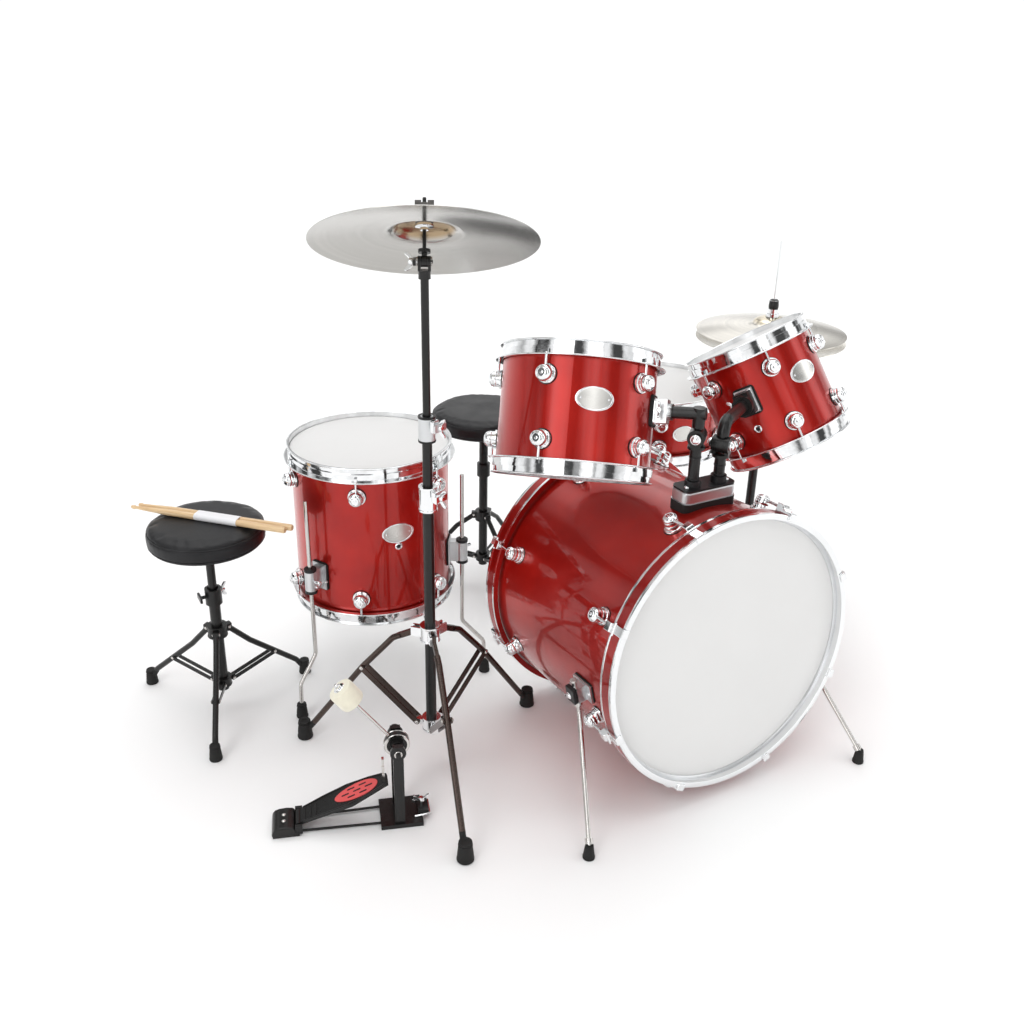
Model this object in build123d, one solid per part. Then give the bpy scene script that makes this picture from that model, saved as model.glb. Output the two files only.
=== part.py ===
"""A five-drum acoustic kit with two cymbal stands, two stools, a kick pedal and a pair of sticks.

Everything is laid out in the layout frame: the origin is on the floor under the middle of the bass
drum, the drummer sits at +Y, the audience is at -Y, and +Z is up.  The whole kit is moved at the end so
that the origin is on the floor, in the middle of the kit's footprint.
"""
from build123d import *
import os
from math import atan2, cos, degrees, radians, sin, sqrt

# ---------------------------------------------------------------- driving dimensions, mm and degrees
INCH = 25.4

# Bass drum: 22 by 18 inches, tilted up a little at the front by its spurs
BASS_RADIUS = 22 * INCH / 2
BASS_DEPTH = 18 * INCH
BASS_WALL = 7.0
BASS_TILT = 3.58
BASS_HOOP_RADIUS = 294.9
BASS_HOOP_PROUD = 19.6
BASS_HOOP_COVER = 16.0
BASS_LUG_COUNT = 8
BASS_LUG_TURN = 21.0
BASS_LUG_INSET = 66.0
SPUR_INSET = 98.0
SPUR_TURN = 101.0
SPUR_RADIUS = 5.0
SPUR_OUT = 22.0

# Hung toms, floor tom and snare drum: shell radius, shell depth, lugs to each head
LEFT_TOM = (6 * INCH, 9 * INCH, 5)
RIGHT_TOM = (5 * INCH, 9 * INCH, 6)
FLOOR_TOM = (7 * INCH, 14 * INCH, 6)
SNARE = (7 * INCH, 5.5 * INCH, 6)
SHELL_WALL = 6.0
LUG_DROP = 54.0
SNARE_LUG_DROP = 40.0

# Where the drums stand, and which way their axes lean
LEFT_TOM_CENTRE = (-189.5, 73.8, 755.0)
LEFT_TOM_AXIS = (0.255, 0.322, 0.912)
LEFT_TOM_TURN = -18.0
RIGHT_TOM_CENTRE = (283.0, 51.0, 739.5)
RIGHT_TOM_AXIS = (-0.259, 0.439, 0.860)
RIGHT_TOM_TURN = 5.0
FLOOR_TOM_CENTRE = (-460.7, 507.1, 413.2)
FLOOR_TOM_TURN = -121.0
SNARE_CENTRE = (300.0, 480.0, 558.0)
SNARE_TURN = -118.0

# Steel tom hoop, measured out from the shell and up from its edge
HOOP_PROUD = 12.0
HOOP_LIP = 8.0
HOOP_FLANGE = 14.4
HOOP_SKIRT = 19.0
ROD_OUT = 9.9
ROD_RADIUS = 2.6

# Tom holder on the crown of the bass drum
HOLDER_CENTRE = (6.0, -98.0)
HOLDER_LENGTH = 124.0
HOLDER_WIDTH = 52.0
HOLDER_TOP = 638.0
PIPE_RADIUS = 11.0
LEFT_PIPE = (-26.0, -102.0)
RIGHT_PIPE = (36.0, -104.0)
LEFT_KNUCKLE_HEIGHT = 742.0
RIGHT_KNUCKLE_HEIGHT = 716.0
KNUCKLE_RADIUS = 17.0

# Floor tom legs
LEG_TURN = -153.0
LEG_OUT = 33.0
LEG_RADIUS = 4.75
LEG_TOP = 524.0
LEG_KNEE = 140.0
LEG_FOOT_OUT = 88.0

# Crash stand
CRASH_SPOT = (-500.6, 102.2)
CRASH_LEG_TURNS = (135.8, 17.2, 257.3)
CRASH_FOOT_REACH = 300.0
CRASH_PIVOT_OUT = 30.0
CRASH_HUB_HEIGHT = 104.0
CRASH_COLLAR_HEIGHT = 326.0
CRASH_MID_PIVOT_OUT = 152.0
CRASH_TUBE_RADII = (11.0, 9.5, 7.5)
CRASH_CLAMP_HEIGHTS = (626.0, 768.0)
CRASH_TILTER_HEIGHT = 1078.0
CRASH_LEAN = 26.9
CRASH_LEAN_TOWARDS = 63.5
CRASH_STUD_RISE = 61.0
CRASH_CYMBAL_RADIUS = 16 * INCH / 2

# Hi-hat stand
HIHAT_SPOT = (505.0, 294.0)
HIHAT_CYMBAL_RADIUS = 14 * INCH / 2
HIHAT_HEIGHT = 790.0
HIHAT_GAP = 16.0
HIHAT_BELL_RADIUS = 46.0
HIHAT_BELL_HEIGHT = 19.0
HIHAT_BOW = 17.0
HIHAT_THICKNESS = 1.2
HIHAT_BOARD_TURN = -45.0
HIHAT_HEEL_OUT = 235.0
HIHAT_ROD_TOP = 1006.0
HIHAT_LEG_TURNS = (75.0, 195.0, 315.0)

# Snare stand
SNARE_STAND_TURNS = (0.0, 120.0, 240.0)

# Stools
STOOL_SPOT = (-841.0, 521.0)
STOOL_RADIUS = 130.0
STOOL_TOP = 474.0
STOOL_LEG_TURNS = (130.0, 10.0, 250.0)
REAR_STOOL_SPOT = (-28.0, 774.0)
REAR_STOOL_RADIUS = 143.0
REAR_STOOL_TOP = 528.0
REAR_STOOL_LEG_TURNS = (30.0, 150.0, 270.0)
SEAT_THICKNESS = 62.0

# Kick pedal, standing on the floor in front of the kit
PEDAL_HEEL = (-862.0, 58.0)
PEDAL_TURN = -18.0
PEDAL_LENGTH = 272.0
PEDAL_WIDTH = 62.0
PEDAL_SHAFT_HEIGHT = 176.0
PEDAL_SHAFT_ALONG = 244.0
BEATER_LENGTH = 152.0
BEATER_LEAN = 37.0

# Drumsticks, lying on the stool
STICK_LENGTH = 376.0
STICK_RADIUS = 7.2
STICK_MIDDLE = (-831.0, 514.0)
STICK_TURN = -45.0

# Fits
RUNNING = 0.06
SHAFT_GAP = 0.4

Z = Vector(0, 0, 1)


# ---------------------------------------------------------------- small builders
def ring(outer, inner, height):
    """A ring standing on the XY plane."""
    body = Cylinder(outer, height, align=(Align.CENTER, Align.CENTER, Align.MIN))
    bore = Cylinder(inner, height + 2, align=(Align.CENTER, Align.CENTER, Align.MIN))
    return body - Pos(0, 0, -1) * bore


def post(radius, height):
    """A round bar standing on the XY plane."""
    return Cylinder(radius, height, align=(Align.CENTER, Align.CENTER, Align.MIN))


def block(length, width, height):
    """A box standing on the XY plane."""
    return Box(length, width, height, align=(Align.CENTER, Align.CENTER, Align.MIN))


def along(start, end, x_dir=None):
    """The plane at start whose normal points at end."""
    direction = Vector(end) - Vector(start)
    if x_dir is None:
        return Plane(origin=Vector(start), z_dir=direction)
    return Plane(origin=Vector(start), x_dir=x_dir, z_dir=direction)


def bar(start, end, radius):
    """A round bar from one point to another."""
    length = (Vector(end) - Vector(start)).length
    return along(start, end) * post(radius, length)


def flat_bar(start, end, width, thickness, side, overhang):
    """A flat bar with round ends between two pivots, its thickness along side."""
    run = Vector(end) - Vector(start)
    middle = (Vector(start) + Vector(end)) * 0.5
    plane = Plane(origin=middle, x_dir=run, z_dir=Vector(side))
    outline = SlotCenterToCenter(run.length, width + overhang)
    return plane * (Pos(0, 0, -thickness / 2) * extrude(outline, thickness))


def bent_tube(points, bend, radius, bore=None):
    """A tube along straight runs joined by arcs."""
    path = FilletPolyline(*points, radius=bend)
    start = Plane(origin=Vector(points[0]), z_dir=path % 0)
    section = start * Circle(radius)
    if bore:
        section = start * (Circle(radius) - Circle(bore))
    return sweep(section, path=path)


def turned(points):
    """A solid of revolution about Z from an outline of (radius, height) points."""
    outline = make_face(Polyline(*[(r, 0, z) for r, z in points], close=True))
    return revolve(outline, axis=Axis.Z)


def radial(turn, out, height, centre=(0, 0)):
    """A point at a plan angle and distance from a centre."""
    return (
        centre[0] + out * cos(radians(turn)),
        centre[1] + out * sin(radians(turn)),
        height,
    )


def around(shape, count, first=0.0):
    """Equal turns of one shape about Z."""
    return [Rot(0, 0, first + 360 / count * index) * shape for index in range(count)]


def solids_of(*shapes):
    """All the solids in some shapes, as one flat list."""
    found = []
    for shape in shapes:
        if isinstance(shape, (list, tuple)):
            found += solids_of(*shape)
        else:
            found += list(shape.solids())
    return found


# ---------------------------------------------------------------- drums
def drum_plane(centre, axis):
    """The frame of a drum: Z along its axis, X up the slope of its head."""
    normal = Vector(axis).normalized()
    slope = Z - normal * normal.dot(Z)
    if slope.length < 0.01:
        slope = Vector(1, 0, 0)
    return Plane(origin=Vector(centre), x_dir=slope, z_dir=normal)


def both_ends(top_half):
    """A piece and its mirror image at the other end of the drum."""
    return [top_half, mirror(top_half, about=Plane.XY)]


def tom_hoop(radius, depth, count, turn):
    """A flanged steel hoop at the top end, with a hole for each tension rod."""
    edge = depth / 2
    profile = [
        (radius + 1.7, edge + HOOP_PROUD),
        (radius + HOOP_LIP, edge + HOOP_PROUD),
        (radius + HOOP_LIP, edge + HOOP_PROUD - 1.9),
        (radius + 3.6, edge + HOOP_PROUD - 1.9),
        (radius + 3.6, edge - 1.2),
        (radius + 6.4, edge - 1.2),
        (radius + 6.4, edge - HOOP_SKIRT + 1.9),
        (radius + HOOP_FLANGE, edge - HOOP_SKIRT + 1.9),
        (radius + HOOP_FLANGE, edge - HOOP_SKIRT),
        (radius + 4.6, edge - HOOP_SKIRT),
        (radius + 4.6, edge - 3.0),
        (radius + 1.7, edge - 3.0),
    ]
    hole = Pos(radius + ROD_OUT, 0, edge - HOOP_SKIRT) * Cylinder(ROD_RADIUS + 0.4, 8)
    return turned(profile) - around(hole, count, turn)


def drum_head(radius, depth):
    """A film stretched over the bearing edge, with its collar and flesh hoop."""
    edge = depth / 2
    return turned(
        [
            (0, edge),
            (radius + 0.2, edge),
            (radius + 0.2, edge - 9),
            (radius + 4.2, edge - 9),
            (radius + 4.2, edge - 3.1),
            (radius + 1.0, edge - 3.1),
            (radius + 1.0, edge + 0.8),
            (0, edge + 0.8),
        ]
    )


def lug_post(radius, base_radius, cap_radius, height):
    """A round lug standing out along X, cut to sit on the shell."""
    foot = post(base_radius, 6.5)
    cap = post(cap_radius, height)
    cap = fillet(cap.edges().group_by(Axis.Z)[-1], cap_radius * 0.55)
    lug = Pos(radius - 1.5, 0, 0) * (Rot(0, 90, 0) * (foot + cap))
    return lug - Cylinder(radius, 4 * base_radius)


def tension_rod(out, low, high):
    """A tension rod with its collar and square key head at the top."""
    collar_height = 2.2
    rod = Pos(out, 0, low) * post(ROD_RADIUS, high - low)
    collar = Pos(out, 0, high) * post(3.4, collar_height)
    key_head = Pos(out, 0, high + collar_height) * block(6.0, 6.0, 7.0)
    return rod + collar + key_head


def tom_lugs(radius, depth, count, turn, drop):
    """Lugs and tension rods at both ends."""
    edge = depth / 2
    rod_low = edge - drop + 6
    rod_high = edge - HOOP_SKIRT + 1.9
    rod_hole = Pos(radius + ROD_OUT, 0, rod_low) * post(ROD_RADIUS + 0.3, 40)
    lug = Pos(0, 0, edge - drop) * lug_post(radius, 19.0, 15.5, 28.0) - rod_hole
    rod = tension_rod(radius + ROD_OUT, rod_low, rod_high)
    pieces = []
    for piece in (lug, rod):
        for end in both_ends(piece):
            pieces += around(end, count, turn)
    return pieces


def plain_drum(name, sizes, plane, turn, drop):
    """The shell, hoops, heads and lugs of a tom or snare drum."""
    radius, depth, count = sizes
    shell = Pos(0, 0, -depth / 2) * ring(radius, radius - SHELL_WALL, depth)
    hoop = tom_hoop(radius, depth, count, turn)
    head = drum_head(radius, depth)
    return {
        name + "_shell": [plane * shell],
        name + "_hoops": [plane * piece for piece in both_ends(hoop)],
        name + "_heads": [plane * piece for piece in both_ends(head)],
        name + "_lugs": [plane * piece for piece in tom_lugs(radius, depth, count, turn, drop)],
    }


# ---------------------------------------------------------------- bass drum
def bass_centre():
    """The middle of the bass drum, with its rear hoop resting on the floor."""
    half = BASS_DEPTH / 2 + BASS_HOOP_PROUD
    height = BASS_HOOP_RADIUS * cos(radians(BASS_TILT)) + half * sin(radians(BASS_TILT))
    return Vector(0, 0, height)


def bass_plane():
    """Z towards the front head, X up, Y towards the drummer's right (-X of the layout)."""
    tilt = radians(BASS_TILT)
    return Plane(origin=bass_centre(), x_dir=(0, sin(tilt), cos(tilt)), z_dir=(0, -cos(tilt), sin(tilt)))


def bass_hoop():
    """A wooden hoop at the front end."""
    edge = BASS_DEPTH / 2
    inner = BASS_RADIUS + 4.4
    return Pos(0, 0, edge - BASS_HOOP_COVER) * ring(BASS_HOOP_RADIUS, inner, BASS_HOOP_COVER + BASS_HOOP_PROUD)


def bass_claw():
    """A claw hooked over the hoop at angle 0, with the ear that its rod passes through."""
    edge = BASS_DEPTH / 2
    back = edge - BASS_HOOP_COVER - 3.0
    front = edge + BASS_HOOP_PROUD
    over = Pos((BASS_HOOP_RADIUS + 3.1), 0, back) * block(5.6, 17.0, front - back + 4)
    lip = Pos(BASS_HOOP_RADIUS - 2.0, 0, front + 0.2) * block(12.0, 15.0, 3.8)
    ear = Pos(BASS_HOOP_RADIUS + 8.5, 0, back) * block(14.0, 15.0, 14.0)
    hole = Pos(BASS_HOOP_RADIUS + 9.0, 0, back - 2) * post(ROD_RADIUS + 0.7, 20)
    return over + lip + ear - hole


def bass_fittings():
    """Lugs, long T-handled rods and claws, at both ends."""
    edge = BASS_DEPTH / 2
    rod_out = BASS_HOOP_RADIUS + 9.0
    lug_at = edge - BASS_LUG_INSET
    rod_low = lug_at + 7
    rod_high = edge - BASS_HOOP_COVER + 11.0
    rod_hole = Pos(rod_out, 0, rod_low) * post(ROD_RADIUS + 0.7, 60)
    lug = Pos(0, 0, lug_at) * lug_post(BASS_RADIUS, 17.5, 14.5, 34.0) - rod_hole
    rod = Pos(rod_out, 0, rod_low) * post(ROD_RADIUS + 0.4, rod_high - rod_low)
    rod_head = Pos(rod_out, 0, rod_high) * post(5.4, 3.0)
    handle = Pos(rod_out, 0, rod_high + 5.5) * (Rot(90, 0, 0) * Cylinder(3.0, 26.0))
    pieces = []
    for piece in (lug, rod + rod_head + handle, bass_claw()):
        for end in both_ends(piece):
            pieces += around(end, BASS_LUG_COUNT, BASS_LUG_TURN)
    return pieces


def spur_frame(side):
    """Where a spur's upright part crosses its bracket: the point and the way down along the leg."""
    plane = bass_plane()
    turn = radians(SPUR_TURN) * side
    out = BASS_RADIUS + SPUR_OUT
    pivot = plane.from_local_coords(Vector(out * cos(turn), out * sin(turn), BASS_DEPTH / 2 - SPUR_INSET))
    tangent = plane.from_local_coords(Vector(-sin(turn), cos(turn), 0)) - plane.origin
    return pivot, tangent.normalized() * side


def spur_bracket(side):
    """The cast bracket of one spur, with a bore along the shell for the leg."""
    pad = Pos(BASS_RADIUS - 2.0, 0, 0) * (Rot(0, 90, 0) * block(60.0, 40.0, 8.0))
    body = Pos(BASS_RADIUS + 14.0, 0, 0) * Box(24.0, 34.0, 30.0)
    barrel = Pos(BASS_RADIUS + SPUR_OUT, 0, 0) * (Rot(90, 0, 0) * Cylinder(12.0, 34.0))
    bore = Pos(BASS_RADIUS + SPUR_OUT, 0, 0) * (Rot(90, 0, 0) * Cylinder(SPUR_RADIUS + RUNNING, 80.0))
    bracket = pad + body + barrel - Cylinder(BASS_RADIUS, 200) - bore
    at_front = Pos(0, 0, BASS_DEPTH / 2 - SPUR_INSET) * bracket
    return bass_plane() * (Rot(0, 0, SPUR_TURN * side) * at_front)


def spur_leg(side):
    """A bent steel leg with a lock collar under the bracket, a rubber foot and its ferrule."""
    pivot, down = spur_frame(side)
    foot = Vector(-354, -294, 0) if side > 0 else Vector(325, -322, 0)
    knee = pivot + down * 48.0
    leg_end = foot + Vector(0, 0, 26)
    tube = bent_tube([pivot - down * 27.0, knee, leg_end], 14.0, SPUR_RADIUS)
    lock = along(pivot + down * 17.4, knee) * ring(9.0, SPUR_RADIUS, 12.0)
    cap = along(pivot - down * 27.0, pivot - down * 30.0) * post(7.0, 4.0)
    base = Pos(*foot) * post(12.0, 4.0)
    cone = Pos(*(foot + Vector(0, 0, 4.0))) * Cone(11.5, 8.5, 24.0, align=(Align.CENTER, Align.CENTER, Align.MIN))
    ferrule = along(leg_end + (knee - leg_end).normalized() * 4.5, knee) * ring(8.0, SPUR_RADIUS, 11.0)
    rubber = base + cone - tube - ferrule
    return [tube + cap, lock, rubber, ferrule]


def bass_drum():
    """The nodes of the bass drum."""
    plane = bass_plane()
    shell = Pos(0, 0, -BASS_DEPTH / 2) * ring(BASS_RADIUS, BASS_RADIUS - BASS_WALL, BASS_DEPTH)
    return {
        "bass_shell": [plane * shell],
        "bass_hoops": [plane * piece for piece in both_ends(bass_hoop())],
        "bass_heads": [plane * piece for piece in both_ends(drum_head(BASS_RADIUS, BASS_DEPTH))],
        "bass_lugs": [plane * piece for piece in bass_fittings()],
        "bass_spur_brackets": [spur_bracket(1), spur_bracket(-1)],
        "bass_spur_left": spur_leg(1),
        "bass_spur_right": spur_leg(-1),
    }


# ---------------------------------------------------------------- tom holder
def tom_holder():
    """The base on the bass drum, with two sockets for the pipes."""
    at = Pos(HOLDER_CENTRE[0], HOLDER_CENTRE[1], 0)
    shell = bass_plane() * Cylinder(BASS_RADIUS, BASS_DEPTH)
    gasket_height = 24.0
    low = HOLDER_TOP - 52.0
    gasket = extrude(RectangleRounded(HOLDER_LENGTH + 4, HOLDER_WIDTH + 4, 14), gasket_height)
    band = extrude(RectangleRounded(HOLDER_LENGTH - 2, HOLDER_WIDTH - 2, 12), 24.0)
    plate = extrude(RectangleRounded(HOLDER_LENGTH, HOLDER_WIDTH, 13), 4.0)
    stack = [
        at * Pos(0, 0, low) * gasket - shell,
        at * Pos(0, 0, low + gasket_height) * band,
        at * Pos(0, 0, HOLDER_TOP - 4.0) * plate,
    ]
    sockets = []
    for spot in (LEFT_PIPE, RIGHT_PIPE):
        well = Pos(spot[0], spot[1], HOLDER_TOP - 24) * post(PIPE_RADIUS + RUNNING, 60)
        stack = [piece - well for piece in stack]
        socket = Pos(spot[0], spot[1], HOLDER_TOP) * ring(16.0, PIPE_RADIUS + RUNNING, 14.0)
        sockets.append(socket)
    return {"tom_mount_base": stack + sockets}


def arm_frame(pipe, height, tom_centre, tom_axis):
    """The knuckle's place, its hinge direction, and the way to the tom in plan."""
    to_tom = Vector(tom_centre[0] - pipe[0], tom_centre[1] - pipe[1], 0).normalized()
    hinge = Vector(to_tom.Y, -to_tom.X, 0)
    return Vector(pipe[0], pipe[1], height), hinge, to_tom


def holder_arm(pipe, height, tom_centre, tom_axis):
    """An upright pipe with a forked knuckle and its bolt."""
    knuckle, hinge, _ = arm_frame(pipe, height, tom_centre, tom_axis)
    foot = HOLDER_TOP - 20.0
    neck = height - KNUCKLE_RADIUS - 3.0
    pipe_bar = Pos(pipe[0], pipe[1], foot) * post(PIPE_RADIUS, neck - foot)
    cap = Pos(pipe[0], pipe[1], neck - 5.0) * post(KNUCKLE_RADIUS, 6.0)
    across = Plane(origin=knuckle, z_dir=hinge, x_dir=(0, 0, 1))
    fork = pipe_bar + cap
    for side in (-1, 1):
        ear = across * (Pos(0, 0, side * 13.0) * Cylinder(KNUCKLE_RADIUS, 8.0))
        web = across * (Pos(-KNUCKLE_RADIUS / 2 - 1.5, 0, side * 13.0) * Box(KNUCKLE_RADIUS + 3.0, 20.0, 8.0))
        fork = fork + ear + web
    bolt = across * Cylinder(5.0, 30.0)
    bolt_head = across * (Pos(0, 0, -18.5) * Cylinder(8.0, 4.0))
    return fork + bolt + bolt_head


def tom_bracket(pipe, height, tom_centre, tom_axis, tom_radius, rise, curved):
    """The upper knuckle, its elbow, and the clamp block and pad on the tom's shell."""
    knuckle, hinge, to_tom = arm_frame(pipe, height, tom_centre, tom_axis)
    across = Plane(origin=knuckle, z_dir=hinge, x_dir=(0, 0, 1))
    axis = Vector(tom_axis).normalized()
    elbow = knuckle + Vector(0, 0, rise)
    from_axis = elbow - Vector(tom_centre)
    station = from_axis.dot(axis)
    outward = (from_axis - axis * station).normalized()
    on_axis = Vector(tom_centre) + axis * station
    shell = drum_plane(tom_centre, tom_axis) * Cylinder(tom_radius, 400)
    pad = along(on_axis + outward * (tom_radius - 4), elbow, x_dir=axis) * block(54.0, 40.0, 8.0)
    block_start = on_axis + outward * (tom_radius + 4)
    clamp = along(block_start, elbow, x_dir=axis) * block(46.0, 32.0, 26.0)
    rod_start = block_start + outward * 26.0
    disc = across * Cylinder(KNUCKLE_RADIUS, 17.2)
    tongue = bar(knuckle, knuckle + Vector(0, 0, KNUCKLE_RADIUS + 6), 8.4)
    neck = knuckle + Vector(0, 0, KNUCKLE_RADIUS + 1.5)
    if curved:
        arm = bent_tube([neck, elbow, rod_start], 24.0, 12.5)
        drum_end = along(rod_start, elbow) * post(21.0, 12.0)
    else:
        arm = bar(neck, elbow + Vector(0, 0, 12), 12.0) + bar(elbow + outward * 13.5, rod_start, 12.0)
        drum_end = along(rod_start, elbow) * post(16.0, 9.0)
    arm = arm + tongue
    bore = across * Cylinder(5.0 + RUNNING, 60)
    arm = disc + arm + drum_end - bore
    return [pad - shell, clamp, arm]


def hung_tom(side):
    """The nodes of a hung tom, its bracket and its arm."""
    if side == "left":
        sizes, centre, axis, turn = LEFT_TOM, LEFT_TOM_CENTRE, LEFT_TOM_AXIS, LEFT_TOM_TURN
        pipe, height, rise, curved = LEFT_PIPE, LEFT_KNUCKLE_HEIGHT, 46.0, False
    else:
        sizes, centre, axis, turn = RIGHT_TOM, RIGHT_TOM_CENTRE, RIGHT_TOM_AXIS, RIGHT_TOM_TURN
        pipe, height, rise, curved = RIGHT_PIPE, RIGHT_KNUCKLE_HEIGHT, 44.0, True
    name = side + "_tom"
    nodes = plain_drum(name, sizes, drum_plane(centre, axis), turn, LUG_DROP)
    nodes[name + "_bracket"] = tom_bracket(pipe, height, centre, axis, sizes[0], rise, curved)
    nodes[name + "_arm"] = [holder_arm(pipe, height, centre, axis)]
    return nodes


# ---------------------------------------------------------------- floor tom
def floor_tom():
    """The nodes of the floor tom: the drum slides on its three legs."""
    plane = drum_plane(FLOOR_TOM_CENTRE, (0, 0, 1))
    nodes = plain_drum("floor_tom", FLOOR_TOM, plane, FLOOR_TOM_TURN, LUG_DROP)
    radius = FLOOR_TOM[0]
    out = radius + LEG_OUT
    spot = Pos(FLOOR_TOM_CENTRE[0], FLOOR_TOM_CENTRE[1], 0)
    bracket_low = 300.0
    bracket_height = 62.0
    pad = Pos(radius + 1.5, 0, bracket_low) * block(7.0, 40.0, bracket_height)
    clamp = Pos(radius + 18.0, 0, bracket_low + 6) * block(27.0, 22.0, bracket_height - 12)
    barrel = Pos(out, 0, bracket_low + 8) * post(13.0, bracket_height - 16)
    shell = Pos(0, 0, bracket_low - 10) * post(radius, bracket_height + 40)
    bore = Pos(out, 0, bracket_low - 10) * post(LEG_RADIUS + RUNNING, bracket_height + 20)
    bracket = pad + clamp + barrel - shell - bore
    foot_out = radius + LEG_FOOT_OUT
    leg_points = [
        (out, 0, LEG_TOP),
        (out, 0, LEG_KNEE),
        (foot_out - 2, 0, LEG_KNEE - 54),
        (foot_out, 0, 20.0),
    ]
    leg = bent_tube(leg_points, 18.0, LEG_RADIUS)
    foot = Pos(foot_out, 0, 0) * Cone(13.0, 9.5, 34.0, align=(Align.CENTER, Align.CENTER, Align.MIN))
    foot = foot - leg
    nodes["floor_tom_leg_brackets"] = [spot * piece for piece in around(bracket, 3, LEG_TURN)]
    legs = around(leg, 3, LEG_TURN) + around(foot, 3, LEG_TURN)
    nodes["floor_tom_legs"] = [spot * piece for piece in legs]
    return nodes


# ---------------------------------------------------------------- tripods
def leg_tube(turn, points, centre, radius, bend):
    """A leg from (distance out, height) points."""
    return bent_tube([radial(turn, out, height, centre) for out, height in points], bend, radius)


def rubber_foot(turn, out, centre, radius, height, inner):
    """A rubber foot with a flat sole, less the leg inside it."""
    spot = radial(turn, out, 0, centre)
    cone = Cone(radius, radius * 0.72, height, align=(Align.CENTER, Align.CENTER, Align.MIN))
    return Pos(*spot) * cone - inner


def fixed_tripod(centre, turns, reach, collar, hub, tube_radius, leg_radius, straight=False):
    """A set-up tripod: collar, hub, three legs with braces, and rubber feet."""
    shoulder = (tube_radius + 12.0, collar)
    elbow_drop = 0.33 if straight else 0.20
    elbow = (reach * 0.36, collar - (collar - 30.0) * elbow_drop)
    ankle = (reach * 0.90, 44.0)
    toe = (reach, 12.0)
    pieces = [
        Pos(*centre, collar - 13) * ring(tube_radius + 9, tube_radius, 26),
        Pos(*centre, hub - 10) * ring(tube_radius + 7, tube_radius, 20),
    ]
    brace_out = (elbow[0] + ankle[0]) / 2
    brace_height = (elbow[1] + ankle[1]) / 2
    for turn in turns:
        leg = leg_tube(turn, [shoulder, elbow, ankle, toe], centre, leg_radius, 26.0)
        side = Vector(-sin(radians(turn)), cos(radians(turn)), 0)
        low = radial(turn, tube_radius + 11, hub, centre)
        high = radial(turn, brace_out, brace_height, centre)
        lug = Pos(*centre, 0) * (Rot(0, 0, turn) * (Pos(tube_radius + 10, 0, hub) * Box(16, 6, 12)))
        ear = Pos(*centre, 0) * (Rot(0, 0, turn) * (Pos(tube_radius + 13, 0, collar) * Box(14, 14, 18)))
        for sign in (-1, 1):
            shift = side * (sign * (leg_radius + 1.3))
            pieces.append(flat_bar(Vector(low) + shift, Vector(high) + shift, 9.0, 2.4, side, 0))
        pieces += [leg - ear, lug - pieces[1], ear - pieces[0]]
        pieces.append(rubber_foot(turn, reach, centre, leg_radius * 2.1, 36.0, leg))
    return pieces


# ---------------------------------------------------------------- snare drum and its stand
def snare_drum():
    """The snare drum with its wires and throw-off."""
    plane = drum_plane(SNARE_CENTRE, (0, 0, 1))
    nodes = plain_drum("snare", SNARE, plane, SNARE_TURN, SNARE_LUG_DROP)
    radius, depth, _ = SNARE
    low = -depth / 2 - 0.8
    spread = 2.1
    wire_count = 16
    wires = []
    for index in range(wire_count):
        offset = (index - (wire_count - 1) / 2) * spread
        wires.append(Pos(0, offset, low - 0.7) * (Rot(0, 90, 0) * Cylinder(0.6, 240.0)))
    for end in (-1, 1):
        wires.append(Pos(end * 127.0, 0, low - 1.4) * block(14.0, 38.0, 1.2))
    nodes["snare_wires"] = [plane * (Rot(0, 0, 30) * piece) for piece in wires]
    throw_turn = 32.0
    pivot_out = radius + 20.0
    housing = Pos(radius + 5.0, 0, -22.0) * block(14.0, 30.0, 44.0) - Cylinder(radius, 400)
    pivot = Pos(pivot_out, 0, -10.0) * (Rot(90, 0, 0) * Cylinder(4.0, 24.0))
    ears = [Pos(radius + 17.0, side * 10.0, -17.0) * block(20.0, 4.0, 16.0) for side in (-1, 1)]
    housing = housing + ears + pivot
    butt = Pos(radius + 4.0, 0, -20.0) * block(12.0, 34.0, 30.0) - Cylinder(radius, 400)
    nodes["snare_lugs"] += [plane * (Rot(0, 0, throw_turn) * housing)]
    nodes["snare_lugs"] += [plane * (Rot(0, 0, throw_turn + 180) * butt)]
    lever_eye = Pos(pivot_out, 0, -10.0) * (Rot(90, 0, 0) * Cylinder(7.0, 15.0))
    lever_arm = Pos(pivot_out + 1.5, 0, -10.0) * block(5.0, 15.0, 52.0)
    bore = Pos(pivot_out, 0, -10.0) * (Rot(90, 0, 0) * Cylinder(4.0 + RUNNING, 40.0))
    lever = lever_eye + lever_arm - bore
    nodes["snare_throw_off"] = [plane * (Rot(0, 0, throw_turn) * lever)]
    return nodes


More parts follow.
